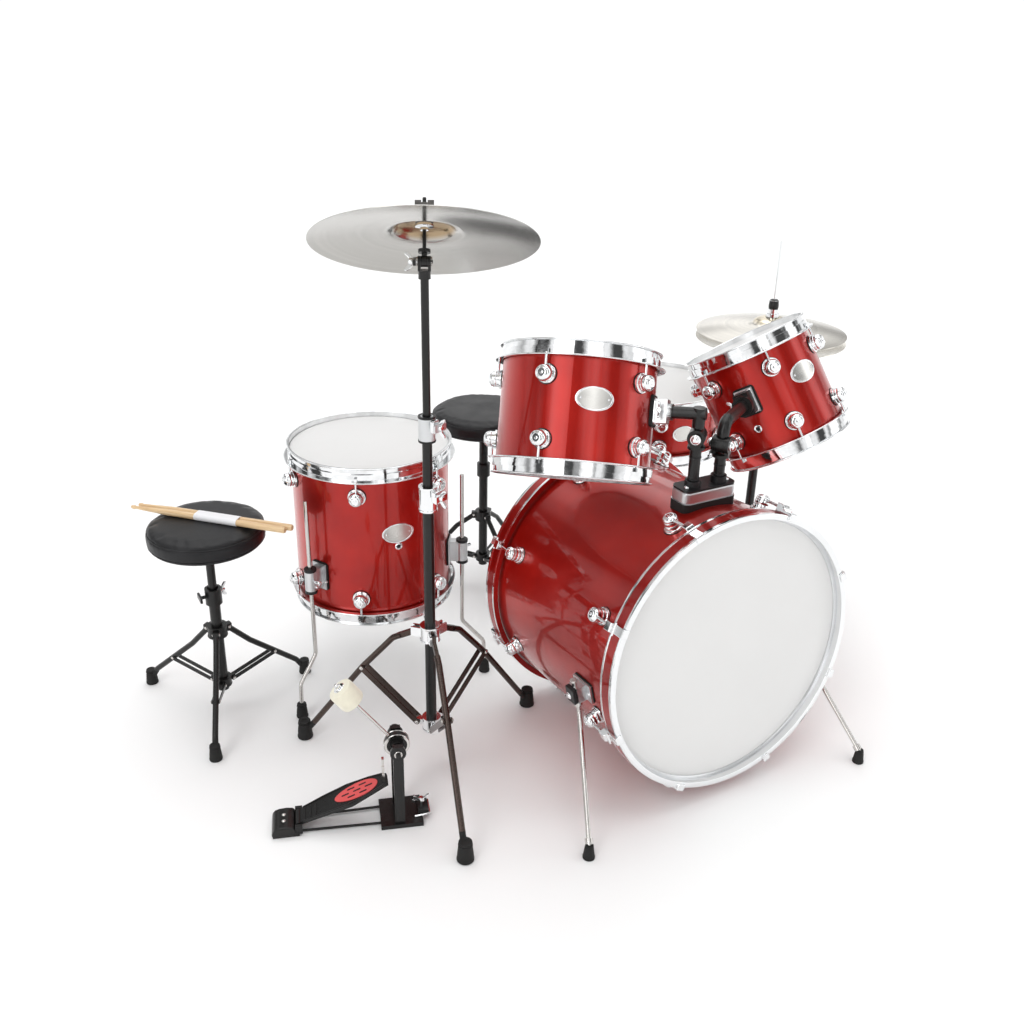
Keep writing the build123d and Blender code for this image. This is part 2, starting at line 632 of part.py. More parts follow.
def snare_stand():
    """A tripod with a basket of three padded arms under the snare drum."""
    spot = (SNARE_CENTRE[0], SNARE_CENTRE[1])
    tube_radius = 11.0
    drum_low = SNARE_CENTRE[2] - SNARE[1] / 2 - HOOP_PROUD
    basket = drum_low - 66.0
    pieces = fixed_tripod(spot, SNARE_STAND_TURNS, 200.0, 220.0, 84.0, tube_radius, 6.0)
    pieces.append(Pos(*spot, 60) * post(tube_radius, basket - 60))
    hub = Pos(*spot, basket) * post(24.0, 22.0)
    pieces.append(hub)
    rim = SNARE[0] + HOOP_FLANGE
    for turn in (90.0, 210.0, 330.0):
        low = radial(turn, 20.0, basket + 11, spot)
        shoulder = radial(turn, rim - 22.0, drum_low - 24.0, spot)
        tip = radial(turn, rim + 9.0, drum_low - 2.0, spot)
        arm = bent_tube([low, shoulder, tip], 14.0, 4.5) - hub
        grip = Pos(*radial(turn, rim + 7.5, drum_low - 9.0, spot)) * (Rot(0, 0, turn) * block(13.0, 26.0, 34.0))
        ledge = Pos(*radial(turn, rim - 6.0, drum_low - 9.0, spot)) * (Rot(0, 0, turn) * block(18.0, 26.0, 8.8))
        pieces += [arm, grip + ledge - arm]
    return {"snare_stand": pieces}


# ---------------------------------------------------------------- cymbals
def cymbal(radius, bell_radius, bell_height, drop, thickness, hole):
    """A bowed cymbal with its bell, its top of bell at height bell_height and its flat at 0."""
    shoulder = bell_radius * 1.28
    with BuildSketch(Plane.XZ) as section:
        with BuildLine():
            top = Spline(
                (hole, bell_height),
                (bell_radius * 0.72, bell_height * 0.74),
                (shoulder, 0),
                tangents=((1, 0), (1, -0.12)),
            )
            bow = ThreePointArc(top @ 1, ((shoulder + radius) / 2, -drop * 0.36), (radius, -drop))
            under_edge = Line(bow @ 1, (radius, -drop - thickness))
            under_bow = ThreePointArc(
                under_edge @ 1,
                ((shoulder + radius) / 2, -drop * 0.36 - thickness),
                (shoulder, -thickness),
            )
            under_bell = Spline(
                under_bow @ 1,
                (bell_radius * 0.72, bell_height * 0.74 - thickness * 1.25),
                (hole, bell_height - thickness),
                tangents=((-1, 0.12), (-1, 0)),
            )
            Line(under_bell @ 1, (hole, bell_height))
        make_face()
    return revolve(section.sketch, axis=Axis.Z)


# ---------------------------------------------------------------- hi-hat
def hihat_base(at, rod_radius):
    """The floor frame of the hi-hat: heel plate with hinge ears and pin, rail, toe plate and pillar."""
    heel_x = -HIHAT_HEEL_OUT
    heel = Pos(heel_x - 22.0, 0, 0) * block(58.0, 84.0, 6.0)
    rail = Pos(heel_x / 2, 0, 0) * block(HIHAT_HEEL_OUT, 8.0, 5.0)
    toe_plate = Pos(6.0, 0, 0) * block(70.0, 60.0, 5.0)
    pillar = Pos(0, 0, 4.0) * block(30.0, 30.0, 55.0) - Pos(0, 0, 20) * post(rod_radius + 3, 80)
    pin = Pos(heel_x, 0, 13.0) * (Rot(90, 0, 0) * Cylinder(3.0, 76.0))
    frame = heel + rail + toe_plate + pillar + pin
    for side in (-1, 1):
        frame = frame + Pos(heel_x, side * 36.0, 4.0) * block(13.0, 5.0, 16.0)
    return at * (Rot(0, 0, HIHAT_BOARD_TURN) * frame)


def hihat_footboard(at):
    """The hinged footboard, rising from its heel pin."""
    heel_x = -HIHAT_HEEL_OUT
    slope = 10.0
    outline = make_face(
        Polyline((4, -26), (120, -31), (206, -22), (206, 22), (120, 31), (4, 26), close=True)
    )
    board = Pos(heel_x, 0, 13.0) * (Rot(0, -slope, 0) * (Pos(0, 0, -1.0) * extrude(outline, 5.0)))
    barrel = Pos(heel_x, 0, 13.0) * (Rot(90, 0, 0) * Cylinder(6.0, 60.0))
    bore = Pos(heel_x, 0, 13.0) * (Rot(90, 0, 0) * Cylinder(3.0 + RUNNING, 90.0))
    return at * (Rot(0, 0, HIHAT_BOARD_TURN) * (board + barrel - bore))


def hi_hat():
    """Stand, bottom cymbal, pull rod with clutch, top cymbal and footboard."""
    at = Pos(*HIHAT_SPOT, 0)
    tube_radius = 11.0
    upper_radius = 8.0
    rod_radius = 3.2
    rise = HIHAT_BOW + HIHAT_THICKNESS
    top_flat = HIHAT_HEIGHT + rise
    bell_top = top_flat + HIHAT_BELL_HEIGHT
    bottom_flat = HIHAT_HEIGHT - HIHAT_GAP - rise
    bell_low = bottom_flat - HIHAT_BELL_HEIGHT
    seat = bell_low - 15.0
    join = 580.0
    stand = fixed_tripod(HIHAT_SPOT, HIHAT_LEG_TURNS, 230.0, 262.0, 120.0, tube_radius, 6.5)
    stand.append(at * (Pos(0, 0, 59) * ring(tube_radius, rod_radius + 2, join - 59)))
    upper = at * (Pos(0, 0, join) * ring(upper_radius, rod_radius + 1, seat - join))
    clamp = at * (Pos(0, 0, join - 20) * ring(17.0, tube_radius, 38)) - upper
    stand += [upper, clamp]
    stand.append(at * (Pos(0, 0, seat) * ring(21.0, rod_radius + 1, 6)))
    stand.append(at * (Pos(0, 0, seat + 6) * ring(15.0, rod_radius + 1, 9)))
    stand.append(at * (Pos(0, 0, seat + 15) * ring(5.6, rod_radius + 1, 14)))
    stand.append(hihat_base(at, rod_radius))
    rod = post(rod_radius, HIHAT_ROD_TOP - 66.0)
    sleeve = Pos(0, 0, bell_top - 14) * ring(5.4, rod_radius, 40)
    collar = Pos(0, 0, bell_top + 20) * ring(11.0, rod_radius, 20)
    low_nut = Pos(0, 0, bell_top - 8) * ring(9.0, rod_radius, 5)
    felt = at * (Pos(0, 0, bell_top + 0.3) * ring(16.0, 5.4, 8))
    nut = at * (Pos(0, 0, bell_top + 8.3) * ring(13.5, 5.4, 11))
    plate_sizes = (HIHAT_CYMBAL_RADIUS, HIHAT_BELL_RADIUS, HIHAT_BELL_HEIGHT, HIHAT_BOW, HIHAT_THICKNESS)
    top = at * (Pos(0, 0, top_flat) * cymbal(*plate_sizes, 5.8))
    under = mirror(cymbal(*plate_sizes, 6.2), about=Plane.XY)
    return {
        "hihat_stand": stand,
        "hihat_rod": [at * (Pos(0, 0, 66.0) * rod + sleeve + collar + low_nut), felt, nut],
        "hihat_top_cymbal": [top],
        "hihat_bottom_cymbal": [at * (Pos(0, 0, bottom_flat) * under)],
        "hihat_footboard": [hihat_footboard(at)],
    }


# ---------------------------------------------------------------- crash stand
def crash_fold_geometry():
    """The brace's length and the height of the pivot between brace and leg."""
    middle = (CRASH_HUB_HEIGHT + CRASH_COLLAR_HEIGHT) / 2
    brace = sqrt((CRASH_MID_PIVOT_OUT - CRASH_PIVOT_OUT) ** 2 + (middle - CRASH_HUB_HEIGHT) ** 2)
    return brace, middle


def crash_leg(turn):
    """A bent leg with a flat tab at the collar, a bore at mid length and a rubber foot."""
    _, middle = crash_fold_geometry()
    side = Vector(-sin(radians(turn)), cos(radians(turn)), 0)
    radius = 6.5
    tab_end = (CRASH_PIVOT_OUT + 38.0, CRASH_COLLAR_HEIGHT - 20.0)
    points = [
        (CRASH_PIVOT_OUT + 34.0, CRASH_COLLAR_HEIGHT - 18.0),
        (CRASH_PIVOT_OUT + 52.0, CRASH_COLLAR_HEIGHT - 28.0),
        (CRASH_MID_PIVOT_OUT, middle),
        (CRASH_FOOT_REACH - 26.0, 46.0),
        (CRASH_FOOT_REACH, 12.0),
    ]
    tube = leg_tube(turn, points, CRASH_SPOT, radius, 20.0)
    inner = Vector(radial(turn, CRASH_PIVOT_OUT, CRASH_COLLAR_HEIGHT, CRASH_SPOT))
    outer = Vector(radial(turn, *tab_end, CRASH_SPOT))
    tab = flat_bar(inner, outer, 12.0, 7.6, side, 0)
    pivot = Vector(radial(turn, CRASH_MID_PIVOT_OUT, middle, CRASH_SPOT))
    bore = Plane(origin=pivot, z_dir=side) * Cylinder(3.0 + RUNNING, 40.0)
    foot = rubber_foot(turn, CRASH_FOOT_REACH, CRASH_SPOT, 16.0, 42.0, tube)
    return [tab + tube - bore, foot]


def crash_brace(turn):
    """Two flat bars and their pins, between the hub and a leg."""
    _, middle = crash_fold_geometry()
    side = Vector(-sin(radians(turn)), cos(radians(turn)), 0)
    low = Vector(radial(turn, CRASH_PIVOT_OUT, CRASH_HUB_HEIGHT, CRASH_SPOT))
    high = Vector(radial(turn, CRASH_MID_PIVOT_OUT, middle, CRASH_SPOT))
    brace = Plane(origin=low, z_dir=side) * Cylinder(3.0, 18.0)
    brace = brace + Plane(origin=high, z_dir=side) * Cylinder(3.0, 18.0)
    for sign in (-1, 1):
        shift = side * (sign * 8.6)
        brace = brace + flat_bar(low + shift, high + shift, 12.0, 3.0, side, 0)
    return [brace]


def crash_clamp(height, outer, inner):
    """A round height clamp with a wing screw, around the end of a tube."""
    body = Pos(0, 0, height - 25) * ring(outer, inner, 50)
    screw = Pos(0, -outer - 5, height + 8) * (Rot(90, 0, 0) * Cylinder(4.0, 16.0))
    wing = Pos(0, -outer - 15, height + 8) * Box(32.0, 5.0, 14.0)
    return Rot(0, 0, 25.0) * (body + screw + wing)


def crash_stand():
    """The nodes of the crash stand: a folding tripod, three telescoping tubes, tilter and cymbal."""
    at = Pos(*CRASH_SPOT, 0)
    base, mid, top = CRASH_TUBE_RADII
    clamp_low, clamp_high = CRASH_CLAMP_HEIGHTS
    hub = Pos(0, 0, CRASH_HUB_HEIGHT - 15) * ring(19.0, base, 30)
    collar = Pos(0, 0, CRASH_COLLAR_HEIGHT - 17) * ring(20.0, base + RUNNING, 34)
    for turn in CRASH_LEG_TURNS:
        tab = Pos(CRASH_PIVOT_OUT - 4.0, 0, CRASH_HUB_HEIGHT) * Box(22.0, 13.2, 13.0)
        bore = Pos(CRASH_PIVOT_OUT, 0, CRASH_HUB_HEIGHT) * (Rot(90, 0, 0) * Cylinder(3.0 + RUNNING, 40))
        tab = tab - Pos(0, 0, CRASH_HUB_HEIGHT) * Cylinder(18.0, 40) - bore
        hub = hub + Rot(0, 0, turn) * tab
        for side in (-1, 1):
            ear = Pos(CRASH_PIVOT_OUT - 3.0, side * 6.4, CRASH_COLLAR_HEIGHT) * Box(24.0, 3.8, 20.0)
            ear = ear - Pos(0, 0, CRASH_COLLAR_HEIGHT) * Cylinder(19.0, 60)
            collar = collar + Rot(0, 0, turn) * ear
    base_tube = Pos(0, 0, CRASH_HUB_HEIGHT - 18) * ring(base, mid + RUNNING, clamp_low + 20 - CRASH_HUB_HEIGHT + 18)
    mid_tube = Pos(0, 0, clamp_low - 170) * ring(mid, top + RUNNING, clamp_high + 20 - clamp_low + 170)
    top_tube = Pos(0, 0, clamp_high - 170) * post(top, CRASH_TILTER_HEIGHT - 19 - clamp_high + 170)
    lower_clamp = crash_clamp(clamp_low, 17.5, base) - Pos(0, 0, clamp_low) * Cylinder(mid + RUNNING, 80)
    upper_clamp = crash_clamp(clamp_high, 16.0, mid) - Pos(0, 0, clamp_high) * Cylinder(top + RUNNING, 80)
    nodes = {
        "crash_base_tube": [at * base_tube, at * (hub - Cylinder(base, 2000)), at * lower_clamp],
        "crash_collar": [at * collar],
        "crash_mid_tube": [at * mid_tube, at * upper_clamp],
    }
    for index, turn in enumerate(CRASH_LEG_TURNS, start=1):
        nodes[f"crash_leg_{index}"] = crash_leg(turn)
        nodes[f"crash_brace_{index}"] = crash_brace(turn)
    nodes.update(crash_top(at, top_tube))
    return nodes


def crash_cymbal_plane():
    """The frame of the tilted cymbal: Z along the stud, X along the tilter's hinge."""
    lean = radians(CRASH_LEAN)
    towards = radians(CRASH_LEAN_TOWARDS)
    normal = Vector(sin(lean) * cos(towards), sin(lean) * sin(towards), cos(lean))
    hinge = Vector(-sin(towards), cos(towards), 0)
    return Plane(origin=(*CRASH_SPOT, CRASH_TILTER_HEIGHT), x_dir=hinge, z_dir=normal)


def crash_top(at, top_tube):
    """The top tube with its fork, the tilter and stud, the felts and the cymbal."""
    plane = crash_cymbal_plane()
    towards = CRASH_LEAN_TOWARDS + 90.0
    knuckle = Pos(0, 0, CRASH_TILTER_HEIGHT)
    turn = Rot(0, 0, towards)
    collar = Pos(0, 0, CRASH_TILTER_HEIGHT - 30) * ring(11.0, CRASH_TUBE_RADII[2], 10)
    fork = Pos(0, 0, CRASH_TILTER_HEIGHT - 20) * post(11.0, 5.0)
    for side in (-1, 1):
        ear = knuckle * (turn * (Pos(side * 9.0, 0, 0) * (Rot(0, 90, 0) * Cylinder(9.5, 5.0))))
        web = knuckle * (turn * (Pos(side * 9.0, 0, -9.5) * Box(5.0, 14.0, 13.0)))
        fork = fork + ear + web
    pin = knuckle * (turn * (Rot(0, 90, 0) * Cylinder(3.4, 30.0)))
    wing = knuckle * (turn * (Pos(17.0, 0, 0) * Box(5.0, 26.0, 10.0)))
    fork = fork + pin + wing
    eye = Rot(0, 90, 0) * Cylinder(9.5, 12.4)
    seat = Pos(0, 0, 15) * post(11.0, 6.0)
    rise = CRASH_STUD_RISE
    neck = post(5.0, 20)
    stud = Pos(0, 0, 20) * post(3.4, rise + 32) + Pos(0, 0, rise - 5) * post(6.5, 5)
    bore = Rot(0, 90, 0) * Cylinder(3.4 + RUNNING, 40)
    tilter = plane * (eye + seat + neck + stud - bore)
    sleeve = Pos(0, 0, rise + 3.4) * ring(5.2, 3.4 + RUNNING, 30)
    low_felt = Pos(0, 0, rise + 3.4) * ring(15.0, 5.2, 9)
    high_felt = Pos(0, 0, rise + 17.6) * ring(14.0, 5.2, 8)
    low_washer = Pos(0, 0, rise + 0.4) * ring(16.0, 3.4 + RUNNING, 3.0)
    nut = Pos(0, 0, rise + 33.6) * ring(7.0, 3.4 + RUNNING, 9)
    wings = Pos(0, 0, rise + 35.6) * block(34.0, 4.0, 12.0) - Pos(0, 0, rise + 19) * post(6.0, 40)
    felts = [sleeve, low_felt, high_felt, low_washer, nut + wings]
    bell_height = 24.0
    plate = Pos(0, 0, rise + 14.3 - bell_height) * cymbal(CRASH_CYMBAL_RADIUS, 56, bell_height, 19, 1.3, 5.6)
    return {
        "crash_top_tube": [at * top_tube, at * (collar - top_tube), at * fork],
        "crash_tilter": [tilter],
        "crash_felts": [plane * piece for piece in felts],
        "crash_cymbal": [plane * plate],
    }


# ---------------------------------------------------------------- stools
def seat_pad(radius, top, spigot_radius):
    """A round upholstered seat on a base plate, with a socket for the post."""
    pad_height = SEAT_THICKNESS - 8
    pad = Pos(0, 0, top - pad_height) * post(radius, pad_height)
    pad = fillet(pad.edges().filter_by(GeomType.CIRCLE), 20.0)
    plate = Pos(0, 0, top - SEAT_THICKNESS) * post(radius * 0.62, 8.2)
    socket = Pos(0, 0, top - SEAT_THICKNESS - 26) * post(spigot_radius + 8, 27)
    bore = Pos(0, 0, top - SEAT_THICKNESS - 27) * post(spigot_radius + RUNNING, 32)
    return pad + plate + socket - bore


def stool():
    """The front stool: seat, sliding post and tripod stand."""
    x, y = STOOL_SPOT
    at = Pos(x, y, 0)
    post_radius = 9.5
    tube_radius = 12.5
    seat = seat_pad(STOOL_RADIUS, STOOL_TOP, post_radius)
    spigot = STOOL_TOP - SEAT_THICKNESS + 4
    post_low = 190.0
    pole = Pos(0, 0, post_low) * post(post_radius, spigot - post_low)
    stop = Pos(0, 0, spigot - 38) * ring(post_radius + 5, post_radius, 7)
    stand = fixed_tripod(STOOL_SPOT, STOOL_LEG_TURNS, 210.0, 198.0, 62.0, tube_radius, 6.5, straight=True)
    tube = Pos(0, 0, 40) * ring(tube_radius, post_radius + RUNNING, 260)
    clamp = Pos(0, 0, 268) * ring(18.5, tube_radius, 38) + Pos(-21, 0, 287) * (Rot(0, 90, 0) * Cylinder(4.0, 14))
    clamp = clamp + Pos(-30.0, 0, 287) * Box(5.0, 32.0, 12.0)
    clamp = clamp - Pos(0, 0, 250) * post(post_radius + RUNNING, 100) - tube
    stand += [at * tube, at * clamp]
    return {
        "throne_seat": [at * seat],
        "throne_post": [at * pole, at * stop],
        "throne_stand": stand,
    }


def rear_stool():
    """The drummer's stool behind the kit: seat and tripod stand."""
    x, y = REAR_STOOL_SPOT
    at = Pos(x, y, 0)
    tube_radius = 12.0
    seat = seat_pad(REAR_STOOL_RADIUS, REAR_STOOL_TOP, tube_radius)
    stand = fixed_tripod(REAR_STOOL_SPOT, REAR_STOOL_LEG_TURNS, 205.0, 210.0, 80.0, tube_radius, 6.5)
    spigot = REAR_STOOL_TOP - SEAT_THICKNESS + 4
    stand.append(at * (Pos(0, 0, 56) * post(tube_radius, spigot - 56)))
    stand.append(at * (Pos(0, 0, spigot - 39) * ring(tube_radius + 5, tube_radius, 8)))
    stand.append(at * (Pos(0, 0, 330) * ring(tube_radius + 6, tube_radius, 36)))
    return {"rear_throne_seat": [at * seat], "rear_throne_stand": stand}


# ---------------------------------------------------------------- kick pedal
def pedal_plane():
    """Origin on the floor at the middle of the heel, X towards the toe."""
    turn = radians(PEDAL_TURN)
    return Plane(origin=(*PEDAL_HEEL, 0), x_dir=(cos(turn), sin(turn), 0), z_dir=(0, 0, 1))


def beater_geometry():
    """The beater head's centre in the pedal's own frame."""
    lean = radians(BEATER_LEAN)
    return (
        PEDAL_SHAFT_ALONG - BEATER_LENGTH * sin(lean),
        0,
        PEDAL_SHAFT_HEIGHT + BEATER_LENGTH * cos(lean),
    )


PEDAL_HINGE = (46.0, 0, 17.0)
BOARD_SLOPE = 22.0
BOARD_LENGTH = 192.0


def pedal():
    """The nodes of the kick pedal."""
    plane = pedal_plane()
    half = PEDAL_WIDTH / 2
    heel_plate = Pos(21.0, 0, 0) * block(52.0, PEDAL_WIDTH, 9.0)
    hinge_ears = [Pos(PEDAL_HINGE[0], side * 27.0, 5.0) * block(14.0, 7.0, 18.0) for side in (-1, 1)]
    pin = Pos(*PEDAL_HINGE) * (Rot(90, 0, 0) * Cylinder(3.0, 56.0))
    toe_plate = Pos(PEDAL_SHAFT_ALONG + 4.0, 0, 0) * block(84.0, PEDAL_WIDTH + 20, 9.0)
    rods = []
    for side in (-1, 1):
        start = (46.0, side * 20.0, 4.0)
        end = (PEDAL_SHAFT_ALONG - 34.0, side * 24.0, 4.0)
        rods.append(bar(start, end, 2.6))
    posts = []
    for side in (-1, 1):
        upright = Pos(PEDAL_SHAFT_ALONG, side * half, 8.0) * block(20.0, 11.0, PEDAL_SHAFT_HEIGHT + 8.0)
        eye = Pos(PEDAL_SHAFT_ALONG, side * half, PEDAL_SHAFT_HEIGHT) * (Rot(90, 0, 0) * Cylinder(14.0, 11.0))
        posts.append(upright + eye)
    shaft_bore = Pos(PEDAL_SHAFT_ALONG, 0, PEDAL_SHAFT_HEIGHT) * (Rot(90, 0, 0) * Cylinder(5.0 + RUNNING, 200))
    toe_clamp = Pos(PEDAL_SHAFT_ALONG + 48.0, 0, 9.0) * block(20.0, 40.0, 12.0)
    heel = heel_plate + hinge_ears + pin
    toe = toe_plate + posts + toe_clamp - shaft_bore
    frame = [heel, toe] + [rod - heel - toe for rod in rods]
    slope = Rot(0, -BOARD_SLOPE, 0)
    board_outline = make_face(
        Polyline((6, -20), (BOARD_LENGTH * 0.6, -32), (BOARD_LENGTH, -15), (BOARD_LENGTH, 15),
                 (BOARD_LENGTH * 0.6, 32), (6, 20), close=True)
    )
    board = Pos(*PEDAL_HINGE) * (slope * (Pos(0, 0, -1.0) * extrude(board_outline, 7.0)))
    barrel = Pos(*PEDAL_HINGE) * (Rot(90, 0, 0) * Cylinder(7.0, 42.0))
    bore = Pos(*PEDAL_HINGE) * (Rot(90, 0, 0) * Cylinder(3.0 + RUNNING, 90.0))
    board = board + barrel - bore
    toe_x = PEDAL_HINGE[0] + (BOARD_LENGTH - 6) * cos(radians(BOARD_SLOPE))
    toe_z = PEDAL_HINGE[2] + (BOARD_LENGTH - 6) * sin(radians(BOARD_SLOPE))
    chain_top = PEDAL_SHAFT_HEIGHT - 34.0
    link_count = 6
    pitch = (chain_top - toe_z - 4.0) / link_count
    links = []
    for index in range(link_count):
        centre = toe_z + 5.0 + pitch * (index + 0.5)
        links.append(Pos(toe_x - 3.0, 0, centre) * Box(5.0, 9.0 if index % 2 else 6.0, pitch))
    shaft = Pos(PEDAL_SHAFT_ALONG, 0, PEDAL_SHAFT_HEIGHT) * (Rot(90, 0, 0) * Cylinder(5.0, PEDAL_WIDTH + 26))
    cam = Pos(PEDAL_SHAFT_ALONG, 0, PEDAL_SHAFT_HEIGHT) * (Rot(90, 0, 0) * Cylinder(24.0, 12.0))
    beater_hub = Pos(PEDAL_SHAFT_ALONG, 0, PEDAL_SHAFT_HEIGHT) * (Rot(90, 0, 0) * Cylinder(13.0, 34.0))
    head_centre = Vector(*beater_geometry())
    start = Vector(PEDAL_SHAFT_ALONG, 0, PEDAL_SHAFT_HEIGHT)
    lean_dir = (head_centre - start).normalized()
    rod = bar(start - lean_dir * 20, head_centre + lean_dir * 32, 3.0)
    felt = Plane(origin=head_centre, x_dir=(0, 1, 0), z_dir=lean_dir)
    end_nut = felt * (Pos(0, 0, 21) * post(11.0, 2.0) + Pos(0, 0, 23) * post(5.5, 5.0))
    swing = shaft + cam + beater_hub + rod + end_nut
    head = felt * (Pos(0, 0, -21) * post(25.0, 42.0))
    head = fillet(head.edges().filter_by(GeomType.CIRCLE), 6.0)
    spring_at = half + 19.0
    crank = Pos(PEDAL_SHAFT_ALONG, spring_at - 6.0, PEDAL_SHAFT_HEIGHT) * (Rot(90, 0, 0) * Cylinder(11.0, 6.0))
    swing = swing + crank
    spring = Pos(PEDAL_SHAFT_ALONG, spring_at, 62.0) * ring(6.5, 4.0, 78.0)
    spring_rod = Pos(PEDAL_SHAFT_ALONG, spring_at, 30.0) * post(2.4, 34.0)
    spring_foot = Pos(PEDAL_SHAFT_ALONG, half + 9, 24.0) * block(16.0, 26.0, 7.0)
    frame += [spring, spring_rod, spring_foot - frame[1] - spring_rod]
    return {
        "pedal_frame": [plane * piece for piece in frame],
        "pedal_footboard": [plane * board] + [plane * link for link in links],
        "pedal_beater": [plane * swing, plane * (head - rod)],
    }


# ---------------------------------------------------------------- drumsticks
def drumsticks():
    """Two sticks lying side by side across the front stool's seat."""
    half = STICK_LENGTH / 2
    profile = [
        (0, -half),
        (STICK_RADIUS * 0.8, -half),
        (STICK_RADIUS, -half + 3),
        (STICK_RADIUS, half * 0.5),
        (STICK_RADIUS * 0.48, half - 13),
        (STICK_RADIUS * 0.66, half - 8),
        (STICK_RADIUS * 0.5, half - 2),
        (0, half),
    ]
    stick = turned(profile)
    turn = radians(STICK_TURN)
    height = STOOL_TOP + STICK_RADIUS + 0.3
    sticks = []
    for side, slide in ((-1, -4.0), (1, 5.0)):
        across = Vector(-sin(turn), cos(turn), 0) * (side * (STICK_RADIUS + 0.15))
        forward = Vector(cos(turn), sin(turn), 0)
        middle = Vector(*STICK_MIDDLE, height) + across + forward * slide
        sticks.append(Plane(origin=middle, z_dir=-forward) * stick)
    return {"drumsticks": sticks}


# ---------------------------------------------------------------- the kit
def build_kit():
    """Every node of the kit, in the layout frame."""
    nodes = {}
    nodes.update(bass_drum())
    nodes.update(tom_holder())
    nodes.update(hung_tom("left"))
    nodes.update(hung_tom("right"))
    nodes.update(floor_tom())
    nodes.update(snare_drum())
    nodes.update(snare_stand())
    nodes.update(hi_hat())
    nodes.update(crash_stand())
    nodes.update(stool())
    nodes.update(rear_stool())
    nodes.update(pedal())
    nodes.update(drumsticks())
    return nodes


def footprint_shift(nodes):
    """The move that puts the origin on the floor in the middle of the kit's footprint."""
    boxes = [Compound(children=solids_of(*pieces)).bounding_box() for pieces in nodes.values()]
    low = [min(getattr(box.min, axis) for box in boxes) for axis in ("X", "Y", "Z")]
    high = [max(getattr(box.max, axis) for box in boxes) for axis in ("X", "Y", "Z")]
    return Pos(-(low[0] + high[0]) / 2, -(low[1] + high[1]) / 2, -low[2])


def main():
    os.makedirs("parts", exist_ok=True)
    nodes = build_kit()
    shift = footprint_shift(nodes)
    print("shift", shift.position.X, shift.position.Y, shift.position.Z)
    for name, pieces in nodes.items():
        solids = [shift * solid for solid in solids_of(*pieces)]
        export_step(Compound(children=solids), f"parts/{name}.step")


main()
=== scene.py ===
from math import cos, degrees, pi, radians, sin, sqrt

import bmesh
import bpy
import numpy as np
from mathutils import Matrix, Vector


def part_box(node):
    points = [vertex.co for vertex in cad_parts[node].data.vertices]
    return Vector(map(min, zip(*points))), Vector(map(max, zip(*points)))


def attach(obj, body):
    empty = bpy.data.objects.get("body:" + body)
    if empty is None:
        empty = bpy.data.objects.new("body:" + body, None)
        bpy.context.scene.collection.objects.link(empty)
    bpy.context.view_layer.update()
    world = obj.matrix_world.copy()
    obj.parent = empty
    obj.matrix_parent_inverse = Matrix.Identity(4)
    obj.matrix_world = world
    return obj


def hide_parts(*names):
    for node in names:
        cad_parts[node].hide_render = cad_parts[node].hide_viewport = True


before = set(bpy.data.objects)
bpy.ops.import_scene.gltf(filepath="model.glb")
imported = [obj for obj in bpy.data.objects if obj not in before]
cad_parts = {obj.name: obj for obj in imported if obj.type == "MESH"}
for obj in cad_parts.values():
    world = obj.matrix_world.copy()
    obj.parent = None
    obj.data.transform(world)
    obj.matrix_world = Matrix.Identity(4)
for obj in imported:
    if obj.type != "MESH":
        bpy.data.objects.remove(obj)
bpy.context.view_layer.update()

MM = 0.001
UP = Vector((0, 0, 1))

# ---------------------------------------------------------------- driving dimensions
BASS_RADIUS, BASS_DEPTH, BASS_TILT = 279.4, 457.2, 3.58
BASS_HOOP_RADIUS, BASS_HOOP_PROUD, BASS_HOOP_COVER = 294.9, 19.6, 16.0
BASS_LUG_COUNT, BASS_LUG_TURN, BASS_LUG_INSET = 8, 21.0, 66.0
SPUR_TURN, SPUR_INSET = 101.0, 98.0
SPUR_FEET = {"left": (-354.0, -294.0), "right": (325.0, -322.0)}

# Each small drum: body, shell radius, shell depth, lugs, first lug's turn, lug drop, centre, axis
DRUMS = {
    "left_tom": ("left_tom", 152.4, 228.6, 5, -18.0, 54.0, (-189.5, 73.8, 755.0), (0.255, 0.322, 0.912)),
    "right_tom": ("right_tom", 127.0, 228.6, 6, 5.0, 54.0, (283.0, 51.0, 739.5), (-0.259, 0.439, 0.860)),
    "floor_tom": ("floor_tom", 177.8, 355.6, 6, -121.0, 54.0, (-460.7, 507.1, 413.2), (0, 0, 1)),
    "snare": ("root", 177.8, 139.7, 6, -118.0, 40.0, (300.0, 480.0, 558.0), (0, 0, 1)),
}

HOLDER_CENTRE, HOLDER_TOP, HOLDER_LENGTH, HOLDER_WIDTH = (6.0, -98.0), 638.0, 124.0, 52.0
PIPES = {"left": ((-26.0, -102.0), 742.0), "right": ((36.0, -104.0), 716.0)}
KNUCKLE_RISE = {"left": 46.0, "right": 44.0}
PIPE_RADIUS = 11.0

FLOOR_LEG_TURN, FLOOR_LEG_OUT, FLOOR_FOOT_OUT = -153.0, 33.0, 88.0

CRASH_SPOT, CRASH_LEG_TURNS = (-500.6, 102.2), (135.8, 17.2, 257.3)
CRASH_FOOT_REACH, CRASH_HUB, CRASH_COLLAR, CRASH_TILTER = 300.0, 104.0, 326.0, 1078.0
CRASH_MID_PIVOT = (152.0, 215.0)
CRASH_CLAMPS = (626.0, 768.0)
CRASH_LEAN, CRASH_LEAN_TOWARDS, CRASH_RADIUS = 26.9, 63.5, 203.2
CRASH_WASHER, CRASH_PLATE = 61.4, 51.3

HIHAT_SPOT, HIHAT_RADIUS, HIHAT_HEIGHT, HIHAT_GAP = (505.0, 294.0), 177.8, 790.0, 16.0
HIHAT_BELL_RADIUS, HIHAT_BELL_HEIGHT, HIHAT_BOW, HIHAT_THICKNESS = 46.0, 19.0, 17.0, 1.2
HIHAT_BOARD_TURN, HIHAT_HEEL_OUT = -45.0, 235.0

